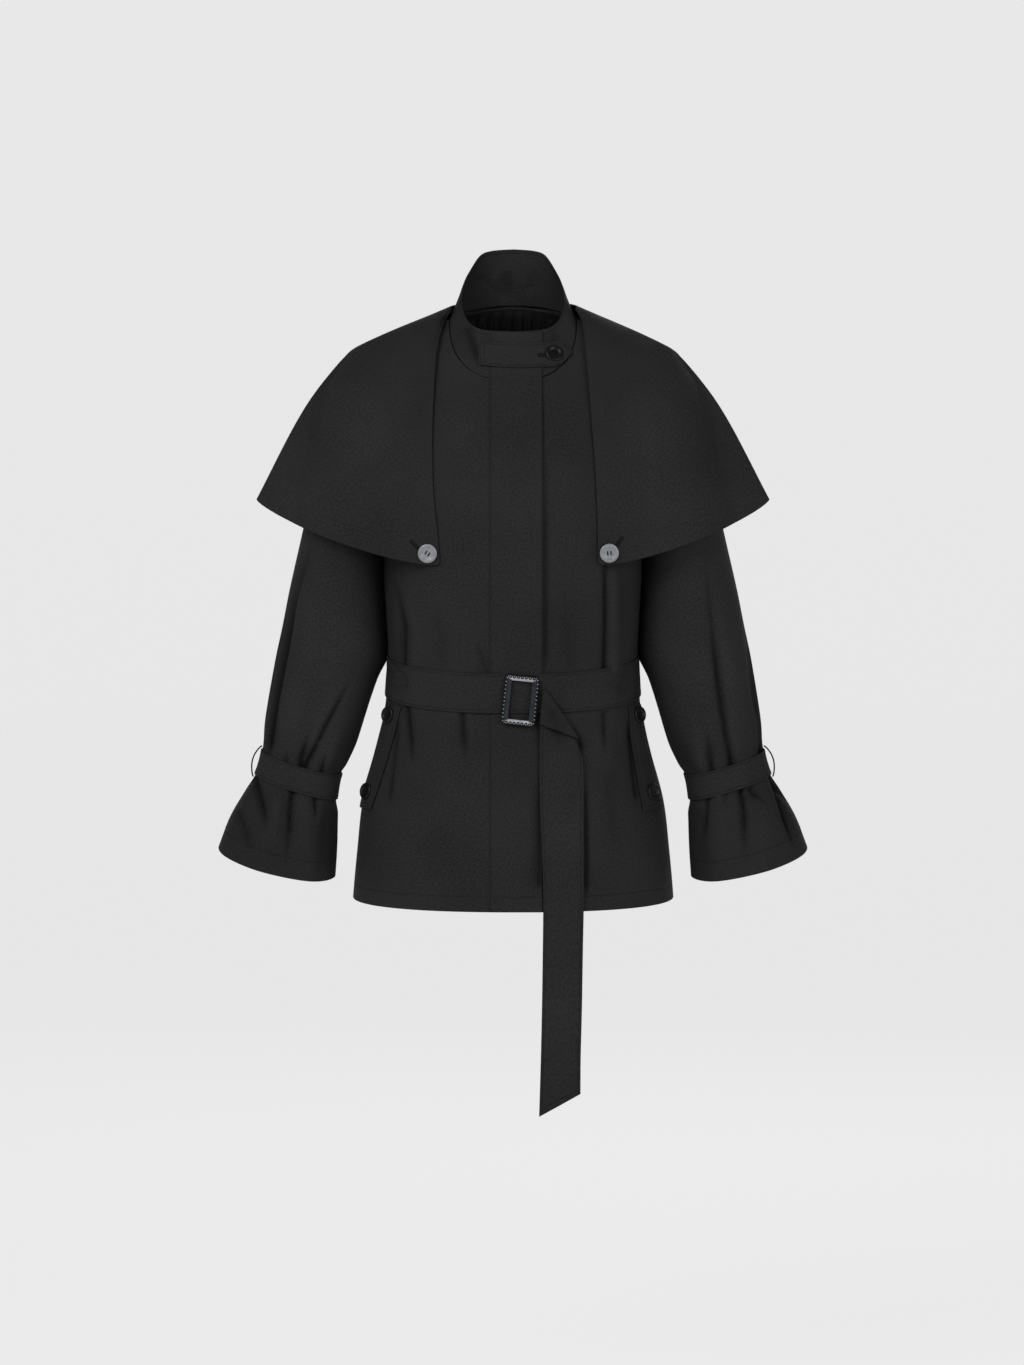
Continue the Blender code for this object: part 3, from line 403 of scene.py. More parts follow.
# %% Sleeves
sleeve = curves(
    "outer_x outer_z inner_x inner_z depth back_shift front_drop",
    (0, 182, -58, 156, -205, 60, 0, 0), (40, 207, -92, 158.5, -226, 63, 3, 0), (90, 225, -138, 159, -248, 65, 6, 0),
    (150, 240, -197, 159.5, -278, 65, 10, 0), (225, 255, -270, 159.5, -322, 63, 13, 1),
    (305, 272.5, -348, 156, -388, 60, 14, 3), (345, 281, -391, 154.5, -424, 58, 13, 4),
    (390, 290, -433, 167, -462, 55, 11, 5), (460, 302, -506, 191, -532, 47, 6, 5),
    (500, 305, -541, 209.5, -570, 39, 3, 4), (537, 314, -573, 216, -603, 39, 2, 5),
    (560, 327, -594, 217.5, -626, 45, 1, 8), (595, 346, -626, 218, -661, 51, 0, 11),
    (632, 360, -662, 218.5, -696, 55, 0, 13))
SLEEVE_POWER, SLEEVE_SEAM, SHOULDER_BLEND, SLEEVE_END = 0.92, 0.6, 120, 632
STRAP_TOP, STRAP_BOTTOM = 502, 536
Gather = namedtuple("Gather", "angle width above below")
GATHERS = [Gather(*row) for row in (
    (-88, 13, 3.0, 4.0), (-32, 14, 5.0, 5.0), (14, 13, 4.0, 6.0), (62, 14, 5.5, 2.0), (118, 13, 4.0, 2.5),
    (165, 14, 5.0, 5.5), (-140, 14, 4.5, 4.5))]


def sleeve_gather(angle, reach):
    """Height of the gathers that the wrist strap draws in."""
    up, down = STRAP_TOP - reach, reach - STRAP_BOTTOM
    above = ease(1 - up / 95) * ease(up / 14)
    below = ease(1.3 - down / 110) * ease(down / 18)
    return sum(bump(turn_between(angle, g.angle), g.width) * (g.above * above + g.below * below) for g in GATHERS)


def sleeve_ring(angle, reach):
    turn = math.radians(angle)
    outer = Vector((sleeve.outer_x(reach), sleeve.back_shift(reach), sleeve.outer_z(reach)))
    inner = Vector((sleeve.inner_x(reach), sleeve.back_shift(reach), sleeve.inner_z(reach)))
    across = (outer - inner) / 2 * power(math.sin(turn), SLEEVE_POWER)
    forward = Vector((0, -sleeve.depth(reach), 0)) * power(math.cos(turn), SLEEVE_POWER)
    drop = Vector((0, 0, -sleeve.front_drop(reach) * math.cos(turn)))
    outward = (across + forward).normalized()
    return (outer + inner) / 2 + across + forward + drop + outward * sleeve_gather(angle, reach)


def armhole_loop(angle):
    turn = math.radians(angle)
    y = -ARMHOLE_HALF_DEPTH * math.cos(turn)
    z = ARMHOLE_Z + ARMHOLE_HALF_HEIGHT * math.sin(turn)
    return Vector((body_surface(angle_at_y(y, z), z).x + SLEEVE_SEAM, y, z))


def sleeve_surface(angle, reach):
    """Place on the wearer's left sleeve; an angle of 90 is its outer side."""
    point = sleeve_ring(angle, reach)
    if reach < SHOULDER_BLEND:
        point += (armhole_loop(angle) - sleeve_ring(angle, 0)) * (1 - reach / SHOULDER_BLEND) ** 2
    return point


def sleeve_point(side, angle, reach, out):
    made = moved_out(sleeve_surface, angle, reach, -out, 1, 0.5) if out else sleeve_surface(angle, reach)
    return Vector((side * made.x, made.y, made.z))


print(f"sleeve {SLEEVE_END} mm long, cuff {sleeve.outer_x(SLEEVE_END) - sleeve.inner_x(SLEEVE_END):.0f} mm across")

# %% Cape
cape_edge = curves("right_x left_x z", (0, 77, 77, -4), (0.06, 86.5, 85, -23), (0.15, 92, 88, -50),
                   (0.45, 97, 95, -140), (0.7, 96, 100, -217), (0.87, 91, 102, -270), (1, 88, 102, -309))
cape_ridge = curves("x z", (0, 76.5, -3), (0.34, 187, -51), (0.435, 212, -72), (0.643, 255, -129), (1, 312, -237))
CAPE_SAG, CAPE_CLEAR, CAPE_SHOULDER_CLEAR, CAPE_NECK_DEPTH, CAPE_SOFTNESS = 16, 0.8, 7.5, 10, 18
CAPE_BACK_TOP, CAPE_BACK_BOTTOM, SLEEVE_MARGIN, SLEEVE_BULK, SLEEVE_HALF_WIDTH = 3, -330, 14, 66, 62
SLEEVE_BACK_SHIFT = 14
SLEEVE_EDGE = [(ring, sleeve.outer_z(ring), sleeve.outer_x(ring)) for ring in
               (632, 595, 560, 537, 500, 460, 390, 345, 305, 225, 150, 90, 40, 0)]


def edge_at(table, side, place):
    """Distance of a front edge from the middle, on the wearer's left (1) or right (-1)."""
    return (table.left_x if side > 0 else table.right_x)(place)


def sleeve_outer_x(z):
    heights = [row[1] for row in SLEEVE_EDGE]
    i = min(max(bisect(heights, z) - 1, 0), len(heights) - 2)
    low, high = SLEEVE_EDGE[i], SLEEVE_EDGE[i + 1]
    return mix(low[2], high[2], (z - low[1]) / (high[1] - low[1]))


def sleeve_depth(x, z, side):
    """How far cloth over the sleeve has to reach at a place seen from the front."""
    beyond = max(abs(x) - sleeve_outer_x(z) - SLEEVE_MARGIN + SLEEVE_HALF_WIDTH, 0) / SLEEVE_HALF_WIDTH
    over = max(z - ARMHOLE_Z, 0) / (ARMHOLE_HALF_HEIGHT + SLEEVE_MARGIN)
    if beyond >= 1 or over >= 1:
        return 0
    shift = SLEEVE_BACK_SHIFT if side == "back" else 0
    return (SLEEVE_BULK + shift) * math.sqrt((1 - beyond ** 2) * (1 - over ** 2))


def cape_clear(share, side):
    return CAPE_SHOULDER_CLEAR if side == "back" else mix(CAPE_SHOULDER_CLEAR, CAPE_CLEAR, ease(share * 1.4))


def cape_depth(x, z, side, profile, clear, across):
    """Depth of the cape's inner face: its own fall, kept clear of the coat and the sleeve."""
    over_body, over_sleeve = body_depth(x, z, side), sleeve_depth(x, z, side)
    soft = CAPE_SOFTNESS * 4 * across * (1 - across)
    draped = (profile + over_sleeve + math.hypot(profile - over_sleeve, soft)) / 2
    return max(draped, over_body + clear if over_body else 0, SEAM)


def cape_profile(across, share):
    crease = ease(share * 2.5)
    return max(1 - across ** mix(2.3, 1.7, crease), 0) ** mix(0.43, 1, crease)


def cape_front_surface(across, share, side):
    edge_x = edge_at(cape_edge, side, share)
    edge_z = cape_edge.z(share)
    sag = CAPE_SAG * share ** 2 * max(4 * across * (1 - across), 0) ** 0.6
    x = mix(edge_x, cape_ridge.x(share), across)
    z = mix(edge_z, cape_ridge.z(share), across) - sag
    clear = cape_clear(share, "front")
    edge_depth = max(body_depth(edge_x, edge_z, "front") + clear, CAPE_NECK_DEPTH)
    profile = edge_depth * cape_profile(max(across, 0), share)
    return Vector((x, -cape_depth(x, z, "front", profile, clear, across), z))


def cape_front_point(side, across, share, out):
    point = moved_out(lambda a, b: cape_front_surface(a, b, side), across, share, -out, 0.01, 0.01)
    return Vector((side * point.x, -SEAM if across == 1 else point.y, point.z))


def cape_back_surface(across, share):
    middle_z = mix(CAPE_BACK_TOP, CAPE_BACK_BOTTOM, share)
    x = cape_ridge.x(share) * across
    z = mix(cape_ridge.z(share), middle_z, max(1 - across * across, 0))
    clear = cape_clear(share, "back")
    profile = (body_depth(0, middle_z, "back") + clear) * cape_profile(abs(across), share)
    return Vector((x, cape_depth(x, z, "back", profile, clear, abs(across)), z))


def cape_back_point(across, share, out):
    point = moved_out(cape_back_surface, across, share, out, 0.01, 0.01)
    if abs(across) == 1:
        point.y = SEAM
    return point


print(f"cape {2 * cape_ridge.x(1):.0f} mm wide at its points")

# %% Belt end and pocket welts
TailRow = namedtuple("TailRow", "left_x left_z right_x right_z lift")
TAIL = [TailRow(*row) for row in (
    (36.8, -461, 32.2, -503, 7.3), (38.0, -462, 55, -512, 8.5), (39.5, -464, 76, -520, 8.4),
    (41.0, -464.5, 78, -521.5, 6.9), (40.0, -466, 77, -523, 5.3), (37.0, -482, 80, -533, 5.3),
    (33.0, -512, 84, -546, 5.3), (32.0, -552, 85.5, -566, 3.8), (33.0, -606, 85.5, -608, 3.2),
    (35.5, -664, 85.5, -662, 3.2), (36.5, -722, 85.5, -720, 3.2), (36.0, -780, 84.5, -778, 3.2),
    (35.0, -850, 83.5, -846, 3.2), (33.5, -916, 82, -908, 3.2), (31.7, -978, 81.7, -951, 3.2))]
tail = curves("left_x left_z right_x right_z lift", *((i, *row) for i, row in enumerate(TAIL)))


def tail_point(across, row, out):
    x = mix(tail.left_x(row), tail.right_x(row), across)
    z = mix(tail.left_z(row), tail.right_z(row), across)
    return Vector((x, -body_depth(x, max(z, HEM_Z - HEM_DROP), "front") - tail.lift(row) - out, z))


welt_edge = curves("right_x left_x", (-612, 172, 157), (-560, 155, 149), (-520, 144, 143), (-486, 135, 139))
WELT_TOP, WELT_BOTTOM, WELT_ARC = -486, -612, 20


def welt_point(side, across, z, out):
    return body_point(side * (angle_at_x(edge_at(welt_edge, side, z), z) + WELT_ARC * across), z, out)


print("belt end hangs to", TAIL[-1].left_z)

# %% [markdown]
# ## Finishes
# The cloth is a fine, matt black twill: diagonal ribs about a millimetre apart, with the slight unevenness of
# yarn. Ribs could be drawn with a picture, but a few nodes on the cloth's own thread map stay sharp at
# any distance and run along each panel's grain. The rib and the unevenness are used by several finishes, so each is
# a node group; the shader with its constant values stays in each material.

# %% Node helpers
def set_inputs(tree, node, inputs):
    """Set a node's inputs by name or by _number, and link those that are given a socket."""
    for name, value in inputs.items():
        socket = node.inputs[int(name[1:]) if name[0] == "_" else name.replace("_", " ")]
        if isinstance(value, bpy.types.NodeSocket):
            tree.links.new(value, socket)
        else:
            socket.default_value = value
    return node


def add_node(tree, kind, **inputs):
    made = tree.nodes.new(kind)
    made.location = (0, -200 * len(tree.nodes))
    return set_inputs(tree, made, inputs)


def calculate(tree, operation, *values):
    made = add_node(tree, "ShaderNodeMath", **{f"_{i}": value for i, value in enumerate(values)})
    made.operation = operation
    return made.outputs[0]


def new_group(name, inputs, outputs):
    """Empty node group with named sockets: (name, kind, default) for inputs and (name, kind) for outputs."""
    group = bpy.data.node_groups.new(name, "ShaderNodeTree")
    for label, kind, default in inputs:
        socket = group.interface.new_socket(label, in_out="INPUT", socket_type=kind)
        if default is not None:
            socket.default_value = default
    for label, kind in outputs:
        group.interface.new_socket(label, in_out="OUTPUT", socket_type=kind)
    return group, group.nodes.new("NodeGroupInput"), group.nodes.new("NodeGroupOutput")


def use_group(tree, group, **inputs):
    made = tree.nodes.new("ShaderNodeGroup")
    made.node_tree = group
    return set_inputs(tree, made, inputs)


def between(tree, tone, dark, light):
    """Colour that runs from dark to light with a tone."""
    made = add_node(tree, "ShaderNodeMix", _0=tone, _6=(*dark, 1), _7=(*light, 1))
    made.data_type = "RGBA"
    return made.outputs[2]


def vertex_value(tree, name):
    """Value that a mesh keeps on its corners."""
    made = add_node(tree, "ShaderNodeAttribute")
    made.attribute_name = name
    return made.outputs["Fac"]


# %% Twill ribs
twill, given, result = new_group(
    "twill", [("Threads", "NodeSocketVector", None), ("Pitch", "NodeSocketFloat", 0.001)],
    [("Height", "NodeSocketFloat"), ("Tone", "NodeSocketFloat")])
parts = add_node(twill, "ShaderNodeSeparateXYZ", Vector=given.outputs["Threads"])
slant = calculate(twill, "MULTIPLY_ADD", parts.outputs["Y"], 1.7, parts.outputs["X"])
rib = calculate(twill, "SINE", calculate(twill, "DIVIDE", calculate(twill, "MULTIPLY", slant, math.tau),
                                         given.outputs["Pitch"]))
along = calculate(twill, "MULTIPLY", parts.outputs["X"], 1.6 * math.tau)
yarn = calculate(twill, "SINE", calculate(twill, "DIVIDE", along, given.outputs["Pitch"]))
weave = calculate(twill, "MULTIPLY_ADD", yarn, 0.35, rib)
slub = add_node(twill, "ShaderNodeTexNoise", Vector=given.outputs["Threads"], Scale=420.0, Detail=3.0, Roughness=0.65)
uneven = add_node(twill, "ShaderNodeMapRange", Value=slub.outputs["Fac"], From_Min=0.32, From_Max=0.68)
twill.links.new(calculate(twill, "MULTIPLY_ADD", slub.outputs["Fac"], 0.8, weave), result.inputs["Height"])
twill.links.new(calculate(twill, "MULTIPLY_ADD", weave, 0.15, uneven.outputs["Result"]), result.inputs["Tone"])
print("twill nodes:", len(twill.nodes))

# %% Unevenness of pressing and handling
handling, given, result = new_group(
    "handling", [("Place", "NodeSocketVector", None), ("Size", "NodeSocketFloat", 9.0)], [("Mask", "NodeSocketFloat")])
broad = add_node(handling, "ShaderNodeTexNoise", Vector=given.outputs["Place"], Scale=given.outputs["Size"], Detail=3.0,
                 Roughness=0.55)
spread = add_node(handling, "ShaderNodeMapRange", Value=broad.outputs["Fac"], From_Min=0.3, From_Max=0.7)
handling.links.new(spread.outputs["Result"], result.inputs["Mask"])
print("handling nodes:", len(handling.nodes))


# %% Cloth and lining
def new_material(name, colour, roughness, **constants):
    """Material whose shader has its plain values set; returns its tree and its shader."""
    made = bpy.data.materials.new(name)
    made.use_nodes = True
    made.diffuse_color = (*colour, 1)
    shader = made.node_tree.nodes["Principled BSDF"]
    shader.inputs["Base Color"].default_value = (*colour, 1)
    shader.inputs["Roughness"].default_value = roughness
    set_inputs(made.node_tree, shader, constants)
    return made, made.node_tree, shader


def cloth_material(name, dark, light, roughness, pitch, rib_height, specular):
    """Woven cloth: a tone that varies by yarn and handling, painted shade in crease troughs and painted light on
    ridges, and ribs and sewn grooves as relief.
    """
    made, tree, shader = new_material(name, light, roughness, Specular_IOR_Level=specular)
    threads = add_node(tree, "ShaderNodeUVMap")
    threads.uv_map = "threads"
    place = add_node(tree, "ShaderNodeTexCoord")
    ribs = use_group(tree, twill, Threads=threads.outputs["UV"], Pitch=pitch)
    worn = use_group(tree, handling, Place=place.outputs["Object"], Size=7.0)
    woven = calculate(tree, "MULTIPLY", ribs.outputs["Tone"], 0.65)
    tone = calculate(tree, "MULTIPLY_ADD", worn.outputs["Mask"], 0.35, woven)
    colour = between(tree, tone, dark, light)
    # Painted shade and light: the corners' relief value darkens the colour in crease troughs and lightens it on ridges.
    shade = add_node(tree, "ShaderNodeMapRange", Value=vertex_value(tree, "relief"), From_Min=-1.0, To_Min=0.25,
                     To_Max=1.6)
    crease_shaded = add_node(tree, "ShaderNodeHueSaturation", Color=colour, Value=shade.outputs["Result"])
    tree.links.new(crease_shaded.outputs["Color"], shader.inputs["Base Color"])
    rough = add_node(tree, "ShaderNodeMapRange", Value=worn.outputs["Mask"], To_Min=roughness - 0.05,
                     To_Max=roughness + 0.05)
    tree.links.new(rough.outputs["Result"], shader.inputs["Roughness"])
    away = calculate(tree, "MULTIPLY", vertex_value(tree, "stitch"), 0.7)
    groove = calculate(tree, "EXPONENT", calculate(tree, "MULTIPLY", calculate(tree, "MULTIPLY", away, away), -1.0))
    ribbed = calculate(tree, "MULTIPLY", ribs.outputs["Height"], rib_height)
    relief = calculate(tree, "MULTIPLY_ADD", groove, -0.0005, ribbed)
    lift = add_node(tree, "ShaderNodeBump", Strength=1.0, Distance=1.0, Height=relief)
    tree.links.new(lift.outputs["Normal"], shader.inputs["Normal"])
    return made


twill_cloth = cloth_material("black_twill", (0.0085, 0.0082, 0.0088), (0.0240, 0.0234, 0.0245), roughness=0.8,
                             pitch=0.0011, rib_height=0.00004, specular=0.06)
lining_cloth = cloth_material("black_lining", (0.004, 0.004, 0.0045), (0.008, 0.008, 0.009), roughness=0.5,
                              pitch=0.0006, rib_height=0.00001, specular=0.2)
print("cloth finishes:", twill_cloth.name, lining_cloth.name)

# %% Floor finish
floor_finish, tree, shader = new_material("pale_floor", (0.08, 0.08, 0.08), 0.9, Specular_IOR_Level=0.0,
                                          Emission_Color=(1, 1, 1, 1), Emission_Strength=0.765)
place = add_node(tree, "ShaderNodeTexCoord")
even = use_group(tree, handling, Place=place.outputs["Object"], Size=0.6)
tint = add_node(tree, "ShaderNodeMapRange", Value=even.outputs["Mask"], To_Min=0.86, To_Max=0.94)
tree.links.new(tint.outputs["Result"], shader.inputs["Roughness"])
floor.data.materials.append(floor_finish)
print("floor finish set")

# %% [markdown]
# ## How each panel of cloth is laid
# A panel is one grid of cells: every corner of the grid is placed on the coat's form, so the weave runs straight
# down each panel, as on cut cloth. Creases are then placed one by one: each is a short line seen from the front or
# the back, sharp where it starts and fading to its end, with a width and a height, and the cloth moves along its own
# normal there. The same height is kept on the corners as a value called relief, which darkens troughs with painted
# shade and lightens ridges a little with painted light, because even light hides them. A cloth simulation would
# fold the coat in its own way; the listed creases sit where this coat has them.

# %% Creases
Crease = namedtuple("Crease", "path width height")
CREASE_DEPTH, RELIEF_EVEN, TROUGH_FULL, RIDGE_FULL = 1.6, 0.11, 6.5, 30


def crease_table(*rows):
    return [Crease(*row) for row in rows]


def fold(far, width):
    """Crease seen across: a narrow, nearly sharp middle that fades out on both sides."""
    return math.exp(0.3 - math.sqrt((far / width) ** 2 + 0.09))


def crease_height(place, creases):
    """Height of all creases at a place, from how far it is from each crease's line."""
    height = 0
    for path, width, rise in creases:
        spans = len(path) - 1
        best, along = 1e9, 0
        for i, (start, end) in enumerate(zip(path, path[1:])):
            dx, dz = end[0] - start[0], end[1] - start[1]
            t = ((place.x - start[0]) * dx + (place.z - start[1]) * dz) / (dx * dx + dz * dz)
            t = min(max(t, 0), 1)
            far = math.hypot(place.x - start[0] - t * dx, place.z - start[1] - t * dz)
            if far < best:
                best, along = far, (i + t) / spans
        if best < 5 * width:
            taper = ease(along * 10 + 0.3) * ease((1 - along) * 2)
            shape = fold if rise < 0 else bump
            height += CREASE_DEPTH * rise * shape(best, width * mix(0.7, 1, taper)) * taper
    return height


def softness(place, size, height):
    """Slow unevenness of hanging cloth; the place is in millimetres."""
    return height * noise.noise(Vector((place.x, place.y * 0.6, place.z * 0.55)) / size)


# %% Laying a panel
def steps(start, end, count, border=0.2):
    """Even steps with a narrow one at both ends, which keeps a cut edge crisp."""
    inner = [mix(start, end, i / count) for i in range(1, count)]
    near = border / count
    return [start, mix(start, end, near), *inner, mix(start, end, 1 - near), end]


FAR_FROM_STITCHES = 99
tree_of = {}


def lay_cloth(name, columns, rows, place, outward, creases=(), soft=(130, 1.2), sewn=None, thickness=CLOTH,
              closed=False, finish=twill_cloth):
    """Panel of cloth: place(column, row) is a point of its outer face, outward(point) a direction out of the coat."""
    shape = bmesh.new()
    threads = shape.loops.layers.uv.new("threads")
    stitch = shape.verts.layers.float.new("stitch")
    relief = shape.verts.layers.float.new("relief")
    bmesh.ops.create_grid(shape, x_segments=len(columns) - 1, y_segments=len(rows) - 1, size=0.5, calc_uvs=True)
    corner = {}
    for vert in shape.verts:
        i = round((vert.co.x + 0.5) * (len(columns) - 1))
        k = round((vert.co.y + 0.5) * (len(rows) - 1))
        vert.co = place(columns[i], rows[k])
        vert[stitch] = sewn(columns[i], rows[k]) if sewn else FAR_FROM_STITCHES
        corner[i, k] = vert.co.copy()
    across = [sum((corner[i + 1, k] - corner[i, k]).length for i in range(len(columns) - 1)) for k in range(len(rows))]
    down = [sum((corner[i, k + 1] - corner[i, k]).length for k in range(len(rows) - 1)) for i in range(len(columns))]
    width, length = across[len(rows) // 2] * MM, down[len(columns) // 2] * MM
    for face in shape.faces:
        for loop in face.loops:
            loop[threads].uv = (loop[threads].uv.x * width, loop[threads].uv.y * length)
    if closed:
        bmesh.ops.remove_doubles(shape, verts=shape.verts, dist=0.01)
    shape.normal_update()
    if sum(face.normal.dot(outward(face.calc_center_median())) for face in shape.faces) < 0:
        bmesh.ops.reverse_faces(shape, faces=shape.faces)
        shape.normal_update()
    area = sum(face.calc_area() for face in shape.faces) * MM * MM
    moves = []
    for vert in shape.verts:
        rise = crease_height(vert.co, creases(vert.co) if callable(creases) else creases)
        # relief holds painted shade for troughs and painted light for ridges, which the cloth finish reads.
        vert[relief] = RELIEF_EVEN + min(rise, 0) / TROUGH_FULL + max(rise, 0) / RIDGE_FULL
        moves.append((vert, vert.normal * (rise + softness(vert.co, *soft))))
    for vert, move in moves:
        vert.co += move
    bmesh.ops.scale(shape, vec=(MM, MM, MM), verts=shape.verts)
    tree_of[name] = BVHTree.FromBMesh(shape)
    mesh = smooth_mesh(shape, name)
    mesh.materials.append(finish)
    piece = put_in_scene(name, mesh)
    wall = piece.modifiers.new("thickness", "SOLIDIFY")
    wall.thickness = thickness * MM
    wall.offset = -1
    print(f"{name}: {len(mesh.polygons)} cells, cut {max(across):.0f} x {max(down):.0f} mm, {area:.4f} square metres")
    return piece


def dress(piece, node):
    """The panel hangs from the root and stands for its packed wall, which is hidden."""
    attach(piece, "root")
    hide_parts(node)


def from_axis(point):
    return Vector((point.x, point.y, 0))


# %% [markdown]
# ## Body: back, two fronts and the placket
# The belt draws the cloth in at the waist, so short creases stand above and below it, and a longer pleat hangs from
# the cape's left corner. Narrow troughs beside the hanging belt end, the placket's free edge and the welts carry
# painted shade for the shadow that falls there. The hem is turned up and sewn 18 mm above its edge.

# %% Back and fronts
FRONT_CREASES = crease_table(
    (((112, -462), (113, -370), (111, -240)), 2.6, -4.6), (((123, -450), (124, -300)), 8, 2.6),
    (((-134, -440), (-132, -388), (-149, -312)), 3.4, -3.6), (((-121, -436), (-119, -392), (-136, -322)), 7, 1.8),
    (((-31, -446), (-46, -398)), 3, -1.6), (((-62, -486), (-57, -552)), 2.6, -3.2),
    (((-52, -492), (-49, -552)), 5, 1.2), (((-130, -480), (-122, -560)), 2.8, -3.8),
    (((111, -488), (113, -545)), 2.6, -2.8), (((72, -440), (60, -330)), 7, -1.0), (((-84, -440), (-96, -345)), 7, -1.0),
    (((-88, -492), (-84, -600)), 9, 1.2), (((30, -484), (33, -560)), 3, -1.4), (((118, -560), (126, -690)), 10, -1.0),
    # The rows from here on are narrow troughs beside the hanging belt end, along the placket's free edge and beside the
    # welts: their relief paints the shadow that these edges cast.
    (((31.5, -704), (32, -620), (33.5, -508)), 5, -3.4),
    (((88.5, -708), (88, -620), (86.5, -548)), 2.6, -3.4), (((84, -536), (74, -517), (66, -505)), 3.2, -3.4),
    (((39.5, -440), (39.5, -300), (39.5, -130)), 2.2, -2.2),
    (((152, -600), (143, -522), (138.5, -496)), 2.6, -3.2),
    (((-152, -600), (-143, -522), (-138.5, -496)), 2.6, -2.4))
BACK_CREASES = crease_table(
    (((-102, -452), (-118, -345)), 3.4, -3.4), (((78, -452), (92, -352)), 3.4, -3.0),
    (((16, -450), (20, -376)), 4, -2.2), (((-48, -450), (-58, -390)), 3, -2.6), (((126, -470), (134, -560)), 3.4, -3.2),
    (((-30, -470), (-34, -540)), 3, -2.4), (((-122, -470), (-132, -572)), 3.4, -3.4),
    (((64, -470), (68, -536)), 3, -2.6), (((-70, -560), (-80, -700)), 12, -1.2),
    (((44, -570), (52, -705)), 12, -1.2))
HEM_STITCH, CUFF_STITCH = 18, 24


def body_creases(point):
    return FRONT_CREASES if point.y < 0 else BACK_CREASES


def hem_stitch(across, up):
    return up * (UNDERARM_Z - HEM_Z) - HEM_STITCH


panel_rows = steps(0, 1, 100)[:-2] + steps(1, 2, 36)
back_cloth = lay_cloth("back_cloth", steps(-1, 1, 170), panel_rows, back_panel_point, from_axis, body_creases,
                       sewn=hem_stitch)
dress(back_cloth, "back_panel")
for name, side in SIDES:
    front_cloth = lay_cloth(f"front_{name}_cloth", steps(0, 1, 100), panel_rows,
                            lambda across, up: front_point(side, across, up), from_axis, body_creases, sewn=hem_stitch)
    dress(front_cloth, f"front_{name}")

# %% Placket
PLACKET_ROLL, PLACKET_LOOSE, PLACKET_TOP, PLACKET_HEM, PLACKET_STITCH = 14, 1.8, -31.5, HEM_Z - HEM_DROP, 2
LOOSE_FROM, LOOSE_TO_BELT, LOOSE_BELOW_BELT = -90, -428, -508


def placket_point(x, z):
    """The placket's sewn edge lies on the front; its free edge stands a layer proud, more between tab, belt and hem."""
    above_belt = ease((LOOSE_FROM - z) / 40) * ease((z - LOOSE_TO_BELT) / 25)
    loose = above_belt + ease((LOOSE_BELOW_BELT - z) / 25)
    lift = mix(SEAM, LAYER, ease((x - PLACKET_LEFT_EDGE) / PLACKET_ROLL))
    return coat_front_point(x, z, lift + PLACKET_LOOSE * loose * ease((x - PLACKET_FREE_EDGE) / 16 + 1))


def placket_stitch(x, z):
    return min((x - PLACKET_LEFT_EDGE - PLACKET_STITCH, z - PLACKET_HEM - HEM_STITCH), key=abs)


placket_rows = steps(PLACKET_HEM, PLACKET_TOP, 150)
placket_cloth = lay_cloth("placket_cloth", steps(PLACKET_LEFT_EDGE, PLACKET_FREE_EDGE, 16), placket_rows, placket_point,
                          from_axis, body_creases, sewn=placket_stitch)
dress(placket_cloth, "front_placket")

# %% [markdown]
# ## Stand collar, its lining and the throat tab
# The collar is one band, high behind and low in front. Its inside shows from the front, with a soft crooked crease
# where the wearer's neck isn't there to fill it, and a strip of gathered lining hangs below its seam.

# %% Collar
COLLAR_CREASES = crease_table(
    (((-44, 32), (-18, 12), (-4, 2)), 7, 2.6), (((-14, 40), (1, 14)), 6, -2.2), (((26, 20), (10, 14)), 5, 1.8),
    (((30, 44), (18, 26)), 6, -1.2))
COLLAR_FRONT_CREASES = crease_table(
    (((-57, -24), (-46, -52), (-36, -72)), 3.6, -2.6), (((-48, -22), (-38, -50)), 4, 1.2),
    (((54, -34), (44, -62)), 4, -1.6))


def collar_creases(point):
    return COLLAR_FRONT_CREASES if point.y < 0 else COLLAR_CREASES


COLLAR_HEIGHT, COLLAR_STITCH = 66, 5


def collar_stitch(angle, height):
    return (1 - height) * COLLAR_HEIGHT - COLLAR_STITCH


edge = math.degrees(SEAM / NECK_HALF_WIDTH)
start = math.degrees(PLACKET_MIDDLE / NECK_HALF_WIDTH)
collar_cloth = lay_cloth(
    "collar_cloth", steps(start + edge, start + 360 - edge, 130), steps(0, 1, 26),
    lambda angle, height: collar_surface(turn_between(angle, 0), height), from_axis, collar_creases, (60, 0.9),
    collar_stitch)
dress(collar_cloth, "collar")

# %% Gathered lining
LINING_HALF_WIDTH, LINING_DEPTH, LINING_DROP, LINING, LINING_GAP = 66, 58, 1, 1.0, 2.1
LINING_GATHERS, GATHER_DEPTH = 10, 2.2


def lining_point(across, down):
    x = mix(-LINING_HALF_WIDTH, LINING_HALF_WIDTH, across)
    wave = 0.5 - 0.5 * math.cos(2 * math.pi * LINING_GATHERS * across + 1.1 * math.sin(9 * across))
    around = 180 - math.degrees(math.asin(abs(x) / NECK_HALF_WIDTH))
    z = neckline_z(around) - LINING_DROP - LINING_DEPTH * down
    angle = math.copysign(180 - angle_at_x(abs(x), z), x)
    return body_point(angle, z, -CLOTH - LINING_GAP - GATHER_DEPTH * wave * ease(down * 4))


lining_piece = lay_cloth("neck_lining_cloth", steps(0, 1, 120), steps(0, 1, 16), lining_point, from_axis,
                         thickness=LINING, soft=(40, 0.3), finish=lining_cloth)
dress(lining_piece, "neck_lining")

# %% Throat tab
TAB_STITCH, TAB_SEWN_END = 2.5, 7


def tab_stitch(x, height):
    sewn_end = x - TAB_START - TAB_SEWN_END
    return min((sewn_end, height * TAB_HEIGHT - TAB_STITCH, (1 - height) * TAB_HEIGHT - TAB_STITCH), key=abs)


